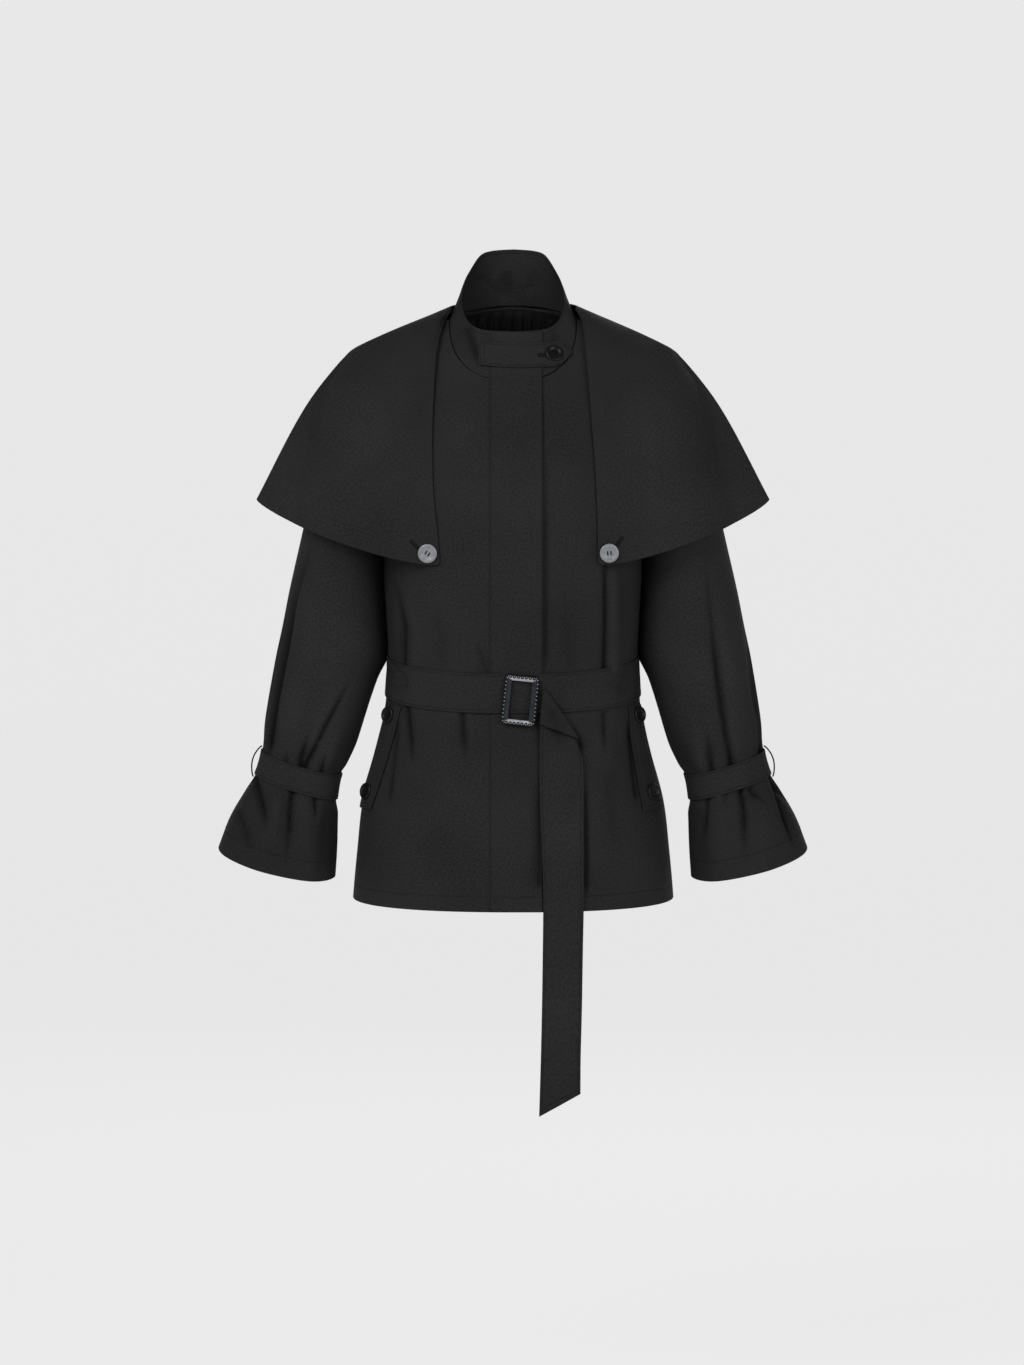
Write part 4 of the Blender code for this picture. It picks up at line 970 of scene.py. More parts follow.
tab_cloth = lay_cloth("throat_tab_cloth", steps(TAB_START, TAB_POINT, 44), steps(0, 1, 12),
                      lambda x, height: tab_point(x, height, LAYER), from_axis, (), (60, 0.2), tab_stitch)
dress(tab_cloth, "throat_tab")

# %% [markdown]
# ## Cape
# The cape is two fronts and a back, joined along the ridge that falls over each arm to a point. It hangs almost
# flat, so its creases are few: a long soft roll off each shoulder, and shallow waves across the back's lower edge.

# %% Cape panels
CAPE_FRONT_CREASES = crease_table(
    (((186, -270), (172, -170), (150, -70)), 20, 1.6), (((112, -60), (118, -190)), 14, -0.4),
    (((262, -216), (222, -110)), 18, -0.6), (((-188, -270), (-170, -168), (-150, -70)), 22, 1.8),
    (((-110, -80), (-116, -200)), 15, -0.4), (((-268, -218), (-226, -112)), 18, -0.6))
CAPE_BACK_CREASES = crease_table(
    (((-82, -312), (-74, -190), (-60, -70)), 20, 3.2), (((66, -312), (60, -200), (48, -90)), 18, 2.6),
    (((-166, -296), (-150, -200), (-128, -90)), 16, -1.8), (((170, -292), (152, -210), (128, -100)), 16, -2.0),
    (((-12, -322), (-10, -220), (-6, -120)), 14, -1.6))


def cape_creases(point):
    return CAPE_FRONT_CREASES if point.y < 0 else CAPE_BACK_CREASES


def cape_outward(point):
    return Vector((point.x * 0.6, point.y, point.z + 320))


for name, side in SIDES:
    cape_front = lay_cloth(f"cape_front_{name}_cloth", steps(0, 1, 58), steps(0, 1, 70),
                           lambda across, share: cape_front_point(side, across, share, CLOTH), cape_outward,
                           cape_creases, (150, 1.0))
    dress(cape_front, f"cape_front_{name}")
cape_back = lay_cloth("cape_back_cloth", steps(-1, 1, 110), steps(0, 1, 70),
                      lambda across, share: cape_back_point(across, share, CLOTH), cape_outward, cape_creases,
                      (150, 1.2))
dress(cape_back, "cape_back")

# %% [markdown]
# ## Sleeves, wrist straps and their thread loops
# The sleeves hang from the armholes and are gathered by a strap above a flared cuff. Long folds run from the cape
# down to the strap; short ones fan out of the strap into the cuff. A thread loop holds each strap on the outside.

# %% Sleeves
SLEEVE_CREASES = {
    -1: crease_table(
        (((-299, -548), (-290, -478), (-268, -365), (-236, -262)), 4.6, -5.0),
        (((-272, -520), (-250, -361), (-226, -290)), 14, 2.2),
        (((-261, -578), (-257, -552), (-245, -508)), 2.4, -4.4),
        (((-258, -572), (-226, -508), (-190, -446)), 2.4, -4.4), (((-246, -540), (-206, -456)), 7, 1.6),
        (((-235, -582), (-231, -560), (-226, -540)), 2.2, -3.0), (((-278, -572), (-276, -540)), 2.6, -2.0),
        (((-268, -578), (-270, -620), (-276, -690)), 2.2, -4.6),
        (((-317, -572), (-308, -600), (-298, -644)), 3.4, -4.4),
        (((-241, -590), (-238, -628)), 2.2, -3.2), (((-286, -590), (-290, -660)), 7, 2.0),
        (((-336, -612), (-318, -668)), 4.0, -2.4), (((-252, -596), (-250, -668)), 8, 1.4)),
    1: crease_table(
        (((269, -578), (259, -523), (249, -449), (243, -392), (229, -262)), 3.0, -4.6),
        (((274, -550), (258, -400), (246, -300)), 10, 2.4),
        (((243, -578), (240, -552), (235, -510)), 2.4, -3.8), (((306, -556), (298, -490), (278, -380)), 4.6, -3.6),
        (((230, -572), (216, -478)), 8, 1.4), (((276, -578), (279, -620), (282, -682)), 2.4, -4.6),
        (((236, -592), (229, -660)), 2.6, -2.6), (((286, -586), (314, -609)), 2.8, -3.2),
        (((313, -560), (332, -620), (348, -672)), 3.2, -5.4), (((252, -590), (254, -664)), 8, 1.8),
        (((300, -596), (318, -664)), 8, 2.0), (((258, -580), (257, -616)), 2.2, -2.4))}
SLEEVE_BACK_CREASES = {
    -1: crease_table(
        (((-266, -560), (-236, -372), (-210, -240)), 5, -4.4), (((-264, -572), (-262, -552), (-238, -465)), 2.8, -4),
        (((-236, -572), (-208, -494)), 2.8, -3.4), (((-260, -580), (-268, -676)), 2.8, -4),
        (((-302, -580), (-324, -664)), 3, -4.2)),
    1: crease_table(
        (((260, -560), (232, -380), (204, -250)), 5, -4.2), (((272, -572), (256, -455)), 2.8, -3.8),
        (((224, -574), (204, -490)), 2.8, -3.4), (((244, -580), (250, -676)), 2.8, -3.8),
        (((292, -580), (314, -668)), 3, -4.4))}
angles = [360 * i / 168 for i in range(169)]
under_strap = [STRAP_TOP + (STRAP_BOTTOM - STRAP_TOP) * t / 8 for t in range(8)]
sleeve_rows = steps(0, STRAP_TOP, 96)[:-2] + under_strap + steps(STRAP_BOTTOM, SLEEVE_END, 30)
LEAN, LEAN_ANGLE, LEAN_SPREAD, LEAN_TOP, LEAN_BOTTOM = 6.5, -106, 24, 120, 385
EDGE_STITCH = 3


def sleeve_rest(angle, reach):
    """How far the sleeve's inner back leans against the side of the coat, above the belt."""
    down = ease((reach - LEAN_TOP) / 60) * ease((LEAN_BOTTOM - reach) / 45)
    return LEAN * bump(turn_between(angle, LEAN_ANGLE), LEAN_SPREAD) * down


def strap_stitch(angle, reach):
    return min((reach - STRAP_TOP - EDGE_STITCH, STRAP_BOTTOM - reach - EDGE_STITCH), key=abs)


def sleeve_stitch(angle, reach):
    return SLEEVE_END - CUFF_STITCH - reach


for name, side in SIDES:
    def sleeve_outward(point):
        reach = min(max((-point.z - 120) / 0.92, 0), SLEEVE_END)
        return Vector((point.x - side * (sleeve.outer_x(reach) + sleeve.inner_x(reach)) / 2, point.y, 0))

    def sleeve_creases(point):
        return (SLEEVE_CREASES if point.y < sleeve.back_shift(300) - 8 else SLEEVE_BACK_CREASES)[side]

    sleeve_cloth = lay_cloth(f"sleeve_{name}_cloth", angles, sleeve_rows,
                             lambda angle, reach: (sleeve_point(side, angle, reach, 0)
                                                   - Vector((side * sleeve_rest(angle, reach), 0, 0))),
                             sleeve_outward, sleeve_creases, (110, 1.6), sleeve_stitch, closed=True)
    dress(sleeve_cloth, f"sleeve_{name}")
    strap_rows = steps(STRAP_TOP, STRAP_BOTTOM, 8)
    strap = lay_cloth(f"wrist_strap_{name}_cloth", angles, strap_rows,
                      lambda angle, reach: sleeve_point(side, angle, reach, LAYER), sleeve_outward, (), (60, 0.3),
                      strap_stitch, closed=True)
    dress(strap, f"wrist_strap_{name}")

# %% [markdown]
# ## Belt, its hanging end and the pocket welts
# The belt goes once round over the placket. Its free end comes out of the buckle, folds down over itself and hangs
# past the hem to a slanted, stitched end. The welts slant over the hips.

# %% Belt
BELT_CREASES = crease_table(
    (((-150, -436), (-136, -452), (-122, -468)), 5, -2.0), (((-150, -455), (-134, -462)), 4, -1.6),
    (((-146, -424), (-138, -434)), 4, 1.2), (((128, -440), (148, -452)), 5, -1.4),
    (((126, -462), (146, -470)), 4, -1.2),
    # Trough on the belt beside the hanging end's fold: its relief paints the fold's shadow.
    (((72, -514), (56, -490), (43, -471)), 3, -2.8))
belt_angles = [turn_between(360 * i / 220 + 180, 0) for i in range(221)]
belt_cloth = lay_cloth("belt_cloth", belt_angles, steps(-BELT_HEIGHT / 2, BELT_HEIGHT / 2, 12),
                       lambda angle, height: belt_point(angle, height, LAYER), from_axis, BELT_CREASES, (70, 0.25),
                       lambda angle, height: BELT_HEIGHT / 2 - abs(height) - EDGE_STITCH, closed=True)
dress(belt_cloth, "belt")

# %% Hanging end
TAIL_WIDTH, TAIL_ROW_LENGTH, TAIL_END_STITCH, TAIL_LAST = 49, 64, 9, len(TAIL) - 1


def tail_stitch(across, row):
    """Sewn lines along both edges and across the slanted end."""
    return min((across * TAIL_WIDTH - EDGE_STITCH, (1 - across) * TAIL_WIDTH - EDGE_STITCH,
                (TAIL_LAST - row) * TAIL_ROW_LENGTH - TAIL_END_STITCH), key=abs)


TAIL_CREASES = crease_table((((44, -486), (62, -540)), 6, -1.6), (((70, -560), (74, -640)), 7, -0.8))
tail_cloth = lay_cloth("belt_tail_cloth", steps(0, 1, 14), steps(0, TAIL_LAST, 180),
                       lambda across, row: tail_point(across, row, CLOTH), lambda point: Vector((0, -1, 0)),
                       TAIL_CREASES, (90, 0.6), tail_stitch)
dress(tail_cloth, "belt_tail")

# %% Welts
WELT_WIDTH, WELT_STITCH, WELT_END_STITCH = 44, 5, 6
for name, side in SIDES:
    welt = lay_cloth(f"pocket_welt_{name}_cloth", steps(0, 1, 14), steps(WELT_BOTTOM, WELT_TOP, 30),
                     lambda across, z: welt_point(side, across, z, LAYER), from_axis, body_creases, (90, 0.2),
                     lambda across, z: min((across * WELT_WIDTH - WELT_STITCH, z - WELT_BOTTOM - WELT_END_STITCH),
                                             key=abs))
    dress(welt, f"pocket_welt_{name}")

# %% [markdown]
# ## Buttons, buckle and thread loops
# A coat button is turned: a dished face inside a raised rim, with four holes. Turning is what Spin does, so a short
# profile is spun once round, and the holes are cut with a Boolean, as a drill would. Two bars of thread join the
# holes. The buckle is a polished frame inside a twisted rope edge; the rope is a row of slanted beads.

# %% Hard finishes
def hard_material(name, dark, light, smooth_roughness, worn_roughness, **constants):
    """Moulded finish: a tone and a gloss that drift a little, with faint fine scratches."""
    made, tree, shader = new_material(name, light, smooth_roughness, **constants)
    place = add_node(tree, "ShaderNodeTexCoord")
    cloudy = use_group(tree, handling, Place=place.outputs["Object"], Size=160.0)
    scuffed = use_group(tree, handling, Place=place.outputs["Object"], Size=900.0)
    tree.links.new(between(tree, cloudy.outputs["Mask"], dark, light), shader.inputs["Base Color"])
    gloss = add_node(tree, "ShaderNodeMapRange", Value=scuffed.outputs["Mask"], To_Min=smooth_roughness,
                     To_Max=worn_roughness)
    tree.links.new(gloss.outputs["Result"], shader.inputs["Roughness"])
    return made


black_button = hard_material("black_button_gloss", (0.003, 0.003, 0.0035), (0.006, 0.006, 0.007), 0.24, 0.36,
                             Specular_IOR_Level=0.12)
grey_button = hard_material("grey_button_gloss", (0.135, 0.138, 0.148), (0.185, 0.188, 0.198), 0.30, 0.42)
rope_black_and_wall_shade = hard_material("buckle_rope_black", (0.002, 0.002, 0.0025), (0.005, 0.005, 0.006), 0.2, 0.34,
                            Specular_IOR_Level=0.16)
polished = hard_material("buckle_polished", (0.022, 0.025, 0.033), (0.045, 0.049, 0.060), 0.2, 0.3, Metallic=1.0)
painted_highlight = hard_material("buckle_painted_highlight", (0.30, 0.31, 0.34), (0.46, 0.47, 0.50), 0.12, 0.2, Metallic=1.0)


def thread_material(name, dark, light, pitch):
    """Twisted sewing thread: slanted strands along the thread's own length."""
    made, tree, shader = new_material(name, light, 0.6, Specular_IOR_Level=0.08)
    place = add_node(tree, "ShaderNodeTexCoord")
    parts = add_node(tree, "ShaderNodeSeparateXYZ", Vector=place.outputs["Object"])
    lean = calculate(tree, "ADD", calculate(tree, "ADD", parts.outputs["X"], parts.outputs["Y"]), parts.outputs["Z"])
    strand = calculate(tree, "SINE", calculate(tree, "MULTIPLY", lean, math.tau / pitch))
    tone = calculate(tree, "MULTIPLY_ADD", strand, 0.5, 0.5)
    tree.links.new(between(tree, tone, dark, light), shader.inputs["Base Color"])
    lift = add_node(tree, "ShaderNodeBump", Strength=0.7, Distance=0.0003, Height=tone)
    tree.links.new(lift.outputs["Normal"], shader.inputs["Normal"])
    return made


black_thread = thread_material("black_thread", (0.002, 0.002, 0.0022), (0.006, 0.006, 0.0065), 0.0012)
print("hard finishes:", [m.name for m in (black_button, grey_button, polished, painted_highlight, rope_black_and_wall_shade, black_thread)])

# %% One turned button
BUTTON_PROFILE = ((0.0, 1.55), (0.38, 1.55), (0.56, 1.75), (0.66, 2.55), (0.75, 2.95), (0.85, 2.95), (0.94, 2.6),
                  (1.0, 1.9), (0.99, 1.2), (0.90, 0.3), (0.82, 0.0), (0.0, 0.0))
BUTTON_STEPS = 56
HOLE_SPREAD, HOLE_RADIUS = 0.175, 0.075


def place_mesh(shape, name, finish):
    """Finished bmesh as an object at the origin."""
    mesh = smooth_mesh(shape, name)
    mesh.set_sharp_from_angle(angle=math.radians(40))
    mesh.materials.append(finish)
    return put_in_scene(name, mesh)


def turned_button(diameter):
    """Button of one diameter, in millimetres on the origin, with four holes cut through it."""
    shape = bmesh.new()
    line = [shape.verts.new((share * diameter / 2, 0, height)) for share, height in BUTTON_PROFILE]
    edges = [shape.edges.new(pair) for pair in zip(line, line[1:])]
    bmesh.ops.spin(shape, geom=line + edges, cent=(0, 0, 0), axis=(0, 0, 1), angle=math.tau, steps=BUTTON_STEPS,
                   use_merge=True)
    bmesh.ops.remove_doubles(shape, verts=shape.verts, dist=0.001)
    bmesh.ops.recalc_face_normals(shape, faces=shape.faces)
    drill = bmesh.new()
    for turn in (45, 135, 225, 315):
        away = HOLE_SPREAD * diameter / 2 * math.sqrt(2)
        spot = Vector((away * math.cos(math.radians(turn)), away * math.sin(math.radians(turn)), 1))
        bmesh.ops.create_cone(drill, cap_ends=True, segments=12, radius1=HOLE_RADIUS * diameter / 2,
                              radius2=HOLE_RADIUS * diameter / 2, depth=6, matrix=Matrix.Translation(spot))
    blank, bit = place_mesh(shape, "button_blank", black_button), place_mesh(drill, "button_drill", black_button)
    cut = blank.modifiers.new("holes", "BOOLEAN")
    cut.object = bit
    cut.solver = "EXACT"
    bpy.context.view_layer.update()
    made = bpy.data.meshes.new_from_object(blank.evaluated_get(bpy.context.evaluated_depsgraph_get()))
    for spent in (blank, bit):
        bpy.data.objects.remove(spent)
    return made


def sew_button(name, node, seat, ahead, diameter, finish, slot, turn):
    """Drilled button on its seat, with two bars of thread over its holes."""
    axis = (ahead - seat).normalized()
    spin = Matrix.Rotation(math.radians(turn), 4, "Z")
    stand = Matrix.Translation((seat + axis * LAY) * MM) @ axis.to_track_quat("Z", "Y").to_matrix().to_4x4() @ spin
    shape = bmesh.new()
    shape.from_mesh(turned_button(diameter))
    bmesh.ops.scale(shape, vec=(MM, MM, MM), verts=shape.verts)
    bmesh.ops.transform(shape, matrix=stand, verts=shape.verts)
    button = place_mesh(shape, name, finish)
    bars = bmesh.new()
    reach = HOLE_SPREAD * diameter / 2
    for way in (-1, 1):
        for lift, share in ((1.75, 1.0), (1.95, 0.72)):
            bar = bmesh.ops.create_icosphere(bars, subdivisions=2, radius=1)["verts"]
            bmesh.ops.scale(bars, vec=(reach * share * 1.3, 0.8, 0.5), verts=bar)
            bmesh.ops.translate(bars, vec=(0, way * reach, lift), verts=bar)
    bmesh.ops.scale(bars, vec=(MM, MM, MM), verts=bars.verts)
    bmesh.ops.transform(bars, matrix=stand, verts=bars.verts)
    thread = place_mesh(bars, name + "_thread", black_thread)
    for piece, slot_name in ((button, slot), (thread, "thread")):
        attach(piece, "root")
    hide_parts(node)
    print(f"{name}: {len(button.data.polygons)} faces")


# %% Buttons in their places
SHANK, SHANK_TILT, CAPE_BUTTON_ROW, CAPE_BUTTON_INSET = 1.2, 0.4, 0.955, 14
seat, ahead = (tab_point(49, 0.5, out) for out in (LAYER, LAYER + 1))
sew_button("throat_button_turned", "throat_button", seat, ahead, 21, black_button, "black_button", 20)
for name, side, turn in (("right", -1, 56), ("left", 1, 96)):
    across = CAPE_BUTTON_INSET / (cape_ridge.x(CAPE_BUTTON_ROW) - edge_at(cape_edge, side, CAPE_BUTTON_ROW))
    seat, ahead = (cape_front_point(side, across, CAPE_BUTTON_ROW, out) for out in (CLOTH, CLOTH + 1))
    sew_button(f"cape_button_{name}_turned", f"cape_button_{name}", seat, ahead, 23, grey_button, "grey_button", turn)
    for level, z, twist in (("upper", -497.5, 15), ("lower", -591, 65)):
        seat, ahead = (welt_point(side, 0.5, z, out) for out in (LAYER, LAYER + 1))
        shank = (ahead - seat) * SHANK
        seat, ahead = seat + shank, ahead + shank + Vector((0, -SHANK_TILT, 0))
        sew_button(f"pocket_button_{name}_{level}_turned", f"pocket_button_{name}_{level}", seat, ahead, 20,
                   black_button, "black_button", twist)

# %% Buckle frame
BUCKLE_WIDTH, BUCKLE_HEIGHT, BUCKLE_SIDE_BAR, BUCKLE_END_BAR, BUCKLE_DEPTH = 43.5, 62, 8.4, 7.4, 4
BUCKLE_X, BUCKLE_Z, BUCKLE_TURN, BUCKLE_CLEAR, ROPE = 8.7, -475, 6, 1.8, 4.4
low, high = (body_depth(BUCKLE_X, BUCKLE_Z + way * BUCKLE_HEIGHT / 2, "front") for way in (-1, 1))
lean = math.atan2(high - low, BUCKLE_HEIGHT)
base = -body_depth(BUCKLE_X, BUCKLE_Z, "front") - 2 * LAYER - BUCKLE_CLEAR
buckle_place = (Matrix.Scale(MM, 4) @ Matrix.Translation((BUCKLE_X, base, BUCKLE_Z)) @ Matrix.Rotation(lean, 4, "X")
                @ Matrix.Rotation(math.radians(BUCKLE_TURN), 4, "Y") @ Matrix.Rotation(math.radians(90), 4, "X"))
frame_shape = bmesh.new()
bmesh.ops.create_grid(frame_shape, x_segments=1, y_segments=1, size=0.5)
bmesh.ops.scale(frame_shape, vec=(BUCKLE_WIDTH - ROPE, BUCKLE_HEIGHT - ROPE, 1), verts=frame_shape.verts)
bmesh.ops.bevel(frame_shape, geom=frame_shape.verts[:], offset=4, offset_type="OFFSET", segments=5, profile=0.5,
                affect="VERTICES", material=-1)
bar = BUCKLE_END_BAR - ROPE / 2
ring = bmesh.ops.inset_region(frame_shape, faces=frame_shape.faces[:], thickness=bar, use_even_offset=True,
                              use_boundary=True)["faces"]
window = next(face for face in frame_shape.faces if face not in ring)
inner_width = BUCKLE_WIDTH - 2 * BUCKLE_SIDE_BAR
squeeze = inner_width / (max(v.co.x for v in window.verts) * 2)
bmesh.ops.scale(frame_shape, vec=(squeeze, 1, 1), verts=window.verts)
bmesh.ops.delete(frame_shape, geom=[window], context="FACES_ONLY")
raised = bmesh.ops.extrude_face_region(frame_shape, geom=frame_shape.faces[:], use_keep_orig=True)["geom"]
raised = [v for v in raised if isinstance(v, bmesh.types.BMVert)]
bmesh.ops.translate(frame_shape, vec=(0, 0, BUCKLE_DEPTH - 0.6), verts=raised)
bmesh.ops.recalc_face_normals(frame_shape, faces=frame_shape.faces)
sharp = [e for e in frame_shape.edges if e.is_manifold and e.calc_face_angle() > math.radians(60)]
bmesh.ops.bevel(frame_shape, geom=sharp, offset=1.2, offset_type="OFFSET", segments=4, profile=0.5, affect="EDGES",
                material=-1, clamp_overlap=True)
# Painted light and shade on the frame: the end bars' faces take the bright metallic finish as a painted highlight, and
# the walls that don't face out take the black rope finish as a painted shadow in the opening.
for face in frame_shape.faces:
    spot = face.calc_center_median()
    end_bar = abs(spot.y) - abs(spot.x) > (BUCKLE_HEIGHT - BUCKLE_WIDTH) / 2
    face.material_index = 2 if face.normal.z < 0.4 else int(end_bar)
bmesh.ops.transform(frame_shape, matrix=buckle_place, verts=frame_shape.verts)
buckle_frame = place_mesh(frame_shape, "buckle_frame", polished)
buckle_frame.data.materials.append(painted_highlight)
buckle_frame.data.materials.append(rope_black_and_wall_shade)
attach(buckle_frame, "root")
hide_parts("buckle")
print("buckle frame faces:", len(buckle_frame.data.polygons))

# %% Buckle rope edge
def round_rectangle(width, height, corner, count):
    """Evenly spaced places and directions round a rectangle with round corners."""
    sides = (width - 2 * corner, math.pi * corner / 2, height - 2 * corner, math.pi * corner / 2) * 2
    spots = []
    for i in range(count):
        along = sum(sides) * i / count
        spot, heading = Vector((-width / 2 + corner, height / 2)), 0.0
        for k, side in enumerate(sides):
            step = min(along, side)
            if k % 2 == 0:
                spot = spot + step * Vector((math.cos(heading), math.sin(heading)))
            else:
                turn = step / corner
                middle = spot + corner * Vector((math.sin(heading), -math.cos(heading)))
                spot = middle + corner * Vector((-math.sin(heading - turn), math.cos(heading - turn)))
                heading -= turn
            along -= step
            if along <= 0:
                break
        spots.append((spot, heading))
    return spots


ROPE_GLINT_FACING = 0.978  # faces of a bead that point this straight out get the bright finish: a painted glint
ROPE_BEADS, ROPE_CORNER, ROPE_INSET, ROPE_TWIST, BEAD_SIZE = 38, 4.6, ROPE + 1, math.radians(28), (2.5, 2.8, ROPE / 2)
rope_shape = bmesh.new()
for spot, heading in round_rectangle(BUCKLE_WIDTH - ROPE_INSET, BUCKLE_HEIGHT - ROPE_INSET, ROPE_CORNER, ROPE_BEADS):
    bead = bmesh.ops.create_icosphere(rope_shape, subdivisions=3, radius=1)["verts"]
    bmesh.ops.scale(rope_shape, vec=BEAD_SIZE, verts=bead)
    bmesh.ops.rotate(rope_shape, verts=bead, cent=(0, 0, 0), matrix=Matrix.Rotation(heading - ROPE_TWIST, 3, "Z"))
    bmesh.ops.translate(rope_shape, vec=(spot.x, spot.y, ROPE / 2), verts=bead)
rope_shape.normal_update()
# Painted glints: each bead's outward-facing top takes the bright metallic finish.
for face in rope_shape.faces:
    face.material_index = int(face.normal.z > ROPE_GLINT_FACING)
bmesh.ops.transform(rope_shape, matrix=buckle_place, verts=rope_shape.verts)
buckle_rope = place_mesh(rope_shape, "buckle_rope", rope_black_and_wall_shade)
buckle_rope.data.materials.append(painted_highlight)
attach(buckle_rope, "root")
print("rope beads:", ROPE_BEADS)

# %% Thread loops that carry the wrist straps
CARRIER_RADIUS, CARRIER_OVERRUN, CARRIER_STAND_OFF, CARRIER_SPANS = 0.9, 5, 8, 28
for name, side in SIDES:
    curve = bpy.data.curves.new(f"strap_loop_{name}", "CURVE")
    curve.dimensions = "3D"
    curve.bevel_depth = CARRIER_RADIUS * MM
    curve.bevel_resolution = 3
    curve.use_fill_caps = True
    spline = curve.splines.new("POLY")
    spline.points.add(CARRIER_SPANS)
    for i, spot in enumerate(spline.points):
        t = i / CARRIER_SPANS
        reach = mix(STRAP_TOP - CARRIER_OVERRUN, STRAP_BOTTOM + CARRIER_OVERRUN, t)
        out = CARRIER_RADIUS + LAY + CARRIER_STAND_OFF * math.sin(math.pi * t) ** 0.7
        spot.co = (*(sleeve_point(side, 90, reach, out) * MM), 1)
    curve.materials.append(black_thread)
    loop = put_in_scene(f"strap_loop_{name}", curve)
    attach(loop, "root")
    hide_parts(f"strap_carrier_{name}")

# %% [markdown]
# ## Stitches and buttonholes
# Sewn lines hold the turned edges of the cloth. Each stitch is a small bead of thread: the nearest place on the panel
# gives its height and its tilt, so the stitches follow every crease. A buttonhole is a dark slit with short stitches
# along both sides and round its eye. The cape's edges are turned in without a visible line, so they get none.

# %% Laying stitches on a panel
STITCH_PITCH, STITCH_SIZE = 3.0, (1.15, 0.32, 0.26)


def thread_bead(shape, spot, along, normal, size):
    """Bead of thread at a place in metres, long in one direction and flat against the cloth."""
    side = normal.cross(along).normalized()
    stand = Matrix((side.cross(normal), side, normal)).transposed().to_4x4()
    bmesh.ops.create_icosphere(shape, subdivisions=2, radius=MM,
                               matrix=Matrix.Translation(spot) @ stand @ Matrix.Diagonal((*size, 1)))


def finish_sewing(shape, name, panel):
    thread = place_mesh(shape, name, black_thread)
    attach(thread, "root")
    print(f"{name}: {len(thread.data.polygons)} faces on {panel}")


def sew(name, panel, lines, inside=0.0):
    """Even stitches along lines of points near a panel, on its outer face or on its inner one."""
    shape = bmesh.new()
    for line in lines:
        reach = [0.0]
        for a, b in zip(line, line[1:]):
            reach.append(reach[-1] + (b - a).length)
        count = max(round(reach[-1] / STITCH_PITCH), 1)
        for k in range(count):
            at = (k + 0.5) * reach[-1] / count
            i = min(bisect(reach, at), len(line) - 1)
            point = line[i - 1].lerp(line[i], (at - reach[i - 1]) / (reach[i] - reach[i - 1]))
            spot, normal, _, _ = tree_of[panel].find_nearest(point * MM)
            face = -normal if inside else normal
            thread_bead(shape, spot - normal * inside * MM, line[i] - line[i - 1], face, STITCH_SIZE)
    finish_sewing(shape, name, panel)


# %% Hems, placket and cuffs
hem_up = HEM_STITCH / (UNDERARM_Z - HEM_Z)
shares = [i / 60 for i in range(61)]
sew("hem_stitches_back", "back_cloth", [[back_panel_point(mix(-0.99, 0.99, t), hem_up) for t in shares]])
for name, side in SIDES:
    hem = [front_point(side, mix(0.01, 0.99, t), hem_up) for t in shares]
    sew(f"hem_stitches_{name}", f"front_{name}_cloth", [hem])
    cuff = [sleeve_point(side, 360 * t, SLEEVE_END - CUFF_STITCH, 0) for t in shares]
    sew(f"cuff_stitches_{name}", f"sleeve_{name}_cloth", [cuff])
    strap_lines = [[sleeve_point(side, 360 * t, reach, LAYER) for t in shares]
                   for reach in (STRAP_TOP + EDGE_STITCH, STRAP_BOTTOM - EDGE_STITCH)]
    sew(f"strap_stitches_{name}", f"wrist_strap_{name}_cloth", strap_lines)
    inset, end = WELT_STITCH / WELT_WIDTH, WELT_BOTTOM + WELT_END_STITCH
    welt_lines = [[welt_point(side, inset, mix(end, WELT_TOP, t), LAYER) for t in shares],
                  [welt_point(side, mix(inset, 0.98, t), end, LAYER) for t in shares]]
    sew(f"welt_stitches_{name}", f"pocket_welt_{name}_cloth", welt_lines)
sewn_x = PLACKET_LEFT_EDGE + PLACKET_STITCH
sew("placket_stitches", "placket_cloth", [
    [placket_point(sewn_x, mix(PLACKET_HEM + 1, PLACKET_TOP - 2.5, t)) for t in shares],
    [placket_point(mix(sewn_x, PLACKET_FREE_EDGE - 1, t), PLACKET_HEM + HEM_STITCH) for t in shares]])

# %% Collar, throat tab, belt and hanging end
def collar_line(down, half):
    """Line round the collar, a distance below its rim."""
    line = []
    for t in shares:
        angle = mix(half, 360 - half, t)
        base, rim = collar_surface(turn_between(angle, 0), 0), collar_surface(turn_between(angle, 0), 1)
        line.append(rim.lerp(base, down / (rim - base).length))
    return line


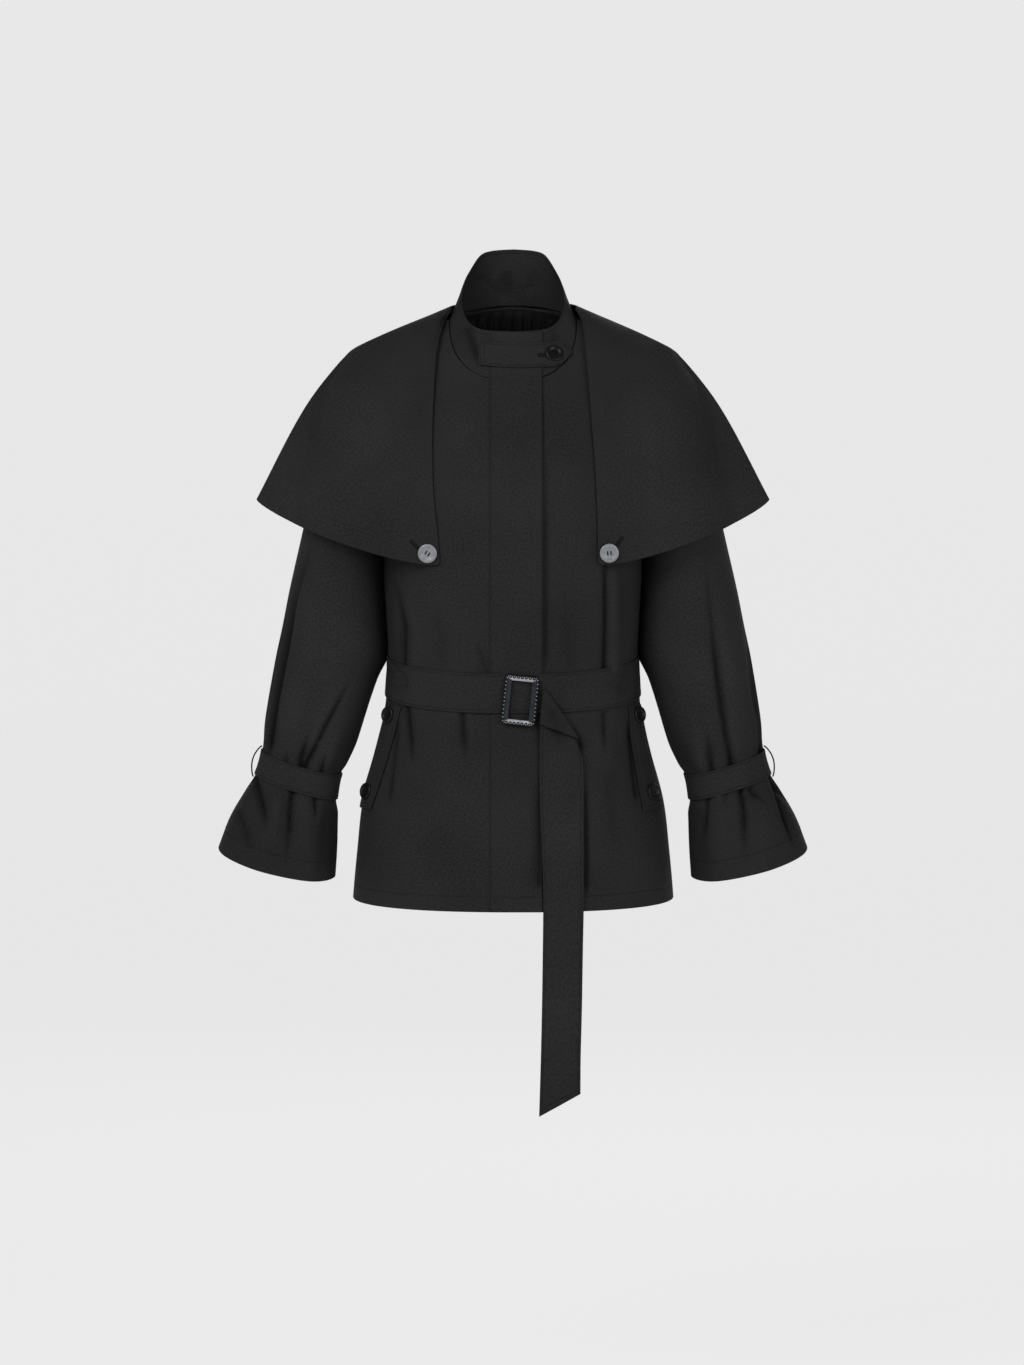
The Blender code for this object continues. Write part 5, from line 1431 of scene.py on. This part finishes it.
sew("collar_stitches_outside", "collar_cloth", [collar_line(COLLAR_STITCH, 4)])
sew("collar_stitches_inside", "collar_cloth", [collar_line(COLLAR_STITCH, 4)], CLOTH)
sew("lining_stitches", "neck_lining_cloth", [[lining_point(mix(0.01, 0.99, t), 0.04) for t in shares]], LINING)
edge_share = TAB_STITCH / TAB_HEIGHT
sew("tab_stitches", "throat_tab_cloth", [
    [tab_point(mix(TAB_START + TAB_STITCH, TAB_POINT - 3, t), height, LAYER) for t in shares]
    for height in (edge_share, 1 - edge_share)] + [
    [tab_point(TAB_START + inset, mix(edge_share, 1 - edge_share, t), LAYER) for t in shares]
    for inset in (TAB_STITCH, TAB_SEWN_END)])
sew("belt_stitches", "belt_cloth", [[belt_point(turn_between(360 * t + 180, 0), height, LAYER) for t in shares]
                                    for height in (EDGE_STITCH - BELT_HEIGHT / 2, BELT_HEIGHT / 2 - EDGE_STITCH)])
edge_share = EDGE_STITCH / TAIL_WIDTH
end_row = TAIL_LAST - TAIL_END_STITCH / TAIL_ROW_LENGTH
sew("tail_stitches", "belt_tail_cloth", [[tail_point(across, mix(0, TAIL_LAST - 0.06, t), CLOTH) for t in shares]
                                         for across in (edge_share, 1 - edge_share)] + [
    [tail_point(mix(0.07, 0.93, t), end_row, CLOTH) for t in shares]])

# %% Buttonholes
HOLE_PITCH = 1.1  # between the stitches along a slit


def buttonhole(name, panel, middle, lean, length):
    """Slit seen from the front, with stitches square to it and a round eye at its far end."""
    lean = math.radians(lean)
    along, square = Vector((math.cos(lean), 0, math.sin(lean))), Vector((-math.sin(lean), 0, math.cos(lean)))
    shape = bmesh.new()

    def lay(offset, heading, size):
        start = (Vector((middle[0], 0, middle[1])) + offset) * MM
        spot, normal, _, _ = tree_of[panel].ray_cast(Vector((start.x, -1, start.z)), Vector((0, 1, 0)))
        thread_bead(shape, spot, heading, normal, size)

    lay(Vector((0, 0, 0)), along, (length / 2, 0.55, 0.35))
    for k in range(round(length / HOLE_PITCH)):
        for way in (-1, 1):
            lay(along * (HOLE_PITCH * k - length / 2 + 0.5) + square * way * 1.5, square, (1.15, 0.42, 0.34))
    for k in range(9):
        turn = math.radians(30 * k - 120)
        spoke = along * math.cos(turn) + square * math.sin(turn)
        lay(along * (length / 2) + spoke * 1.9, spoke, (1.1, 0.42, 0.34))
    finish_sewing(shape, name, panel)


buttonhole("cape_buttonhole_right", "cape_front_right_cloth", (-116.5, -289.5), 134, 17)
buttonhole("cape_buttonhole_left", "cape_front_left_cloth", (126.5, -286.5), 54, 17)
buttonhole("tab_buttonhole", "throat_tab_cloth", (38, tab_point(38, 0.5, 0).z), 180, 11)
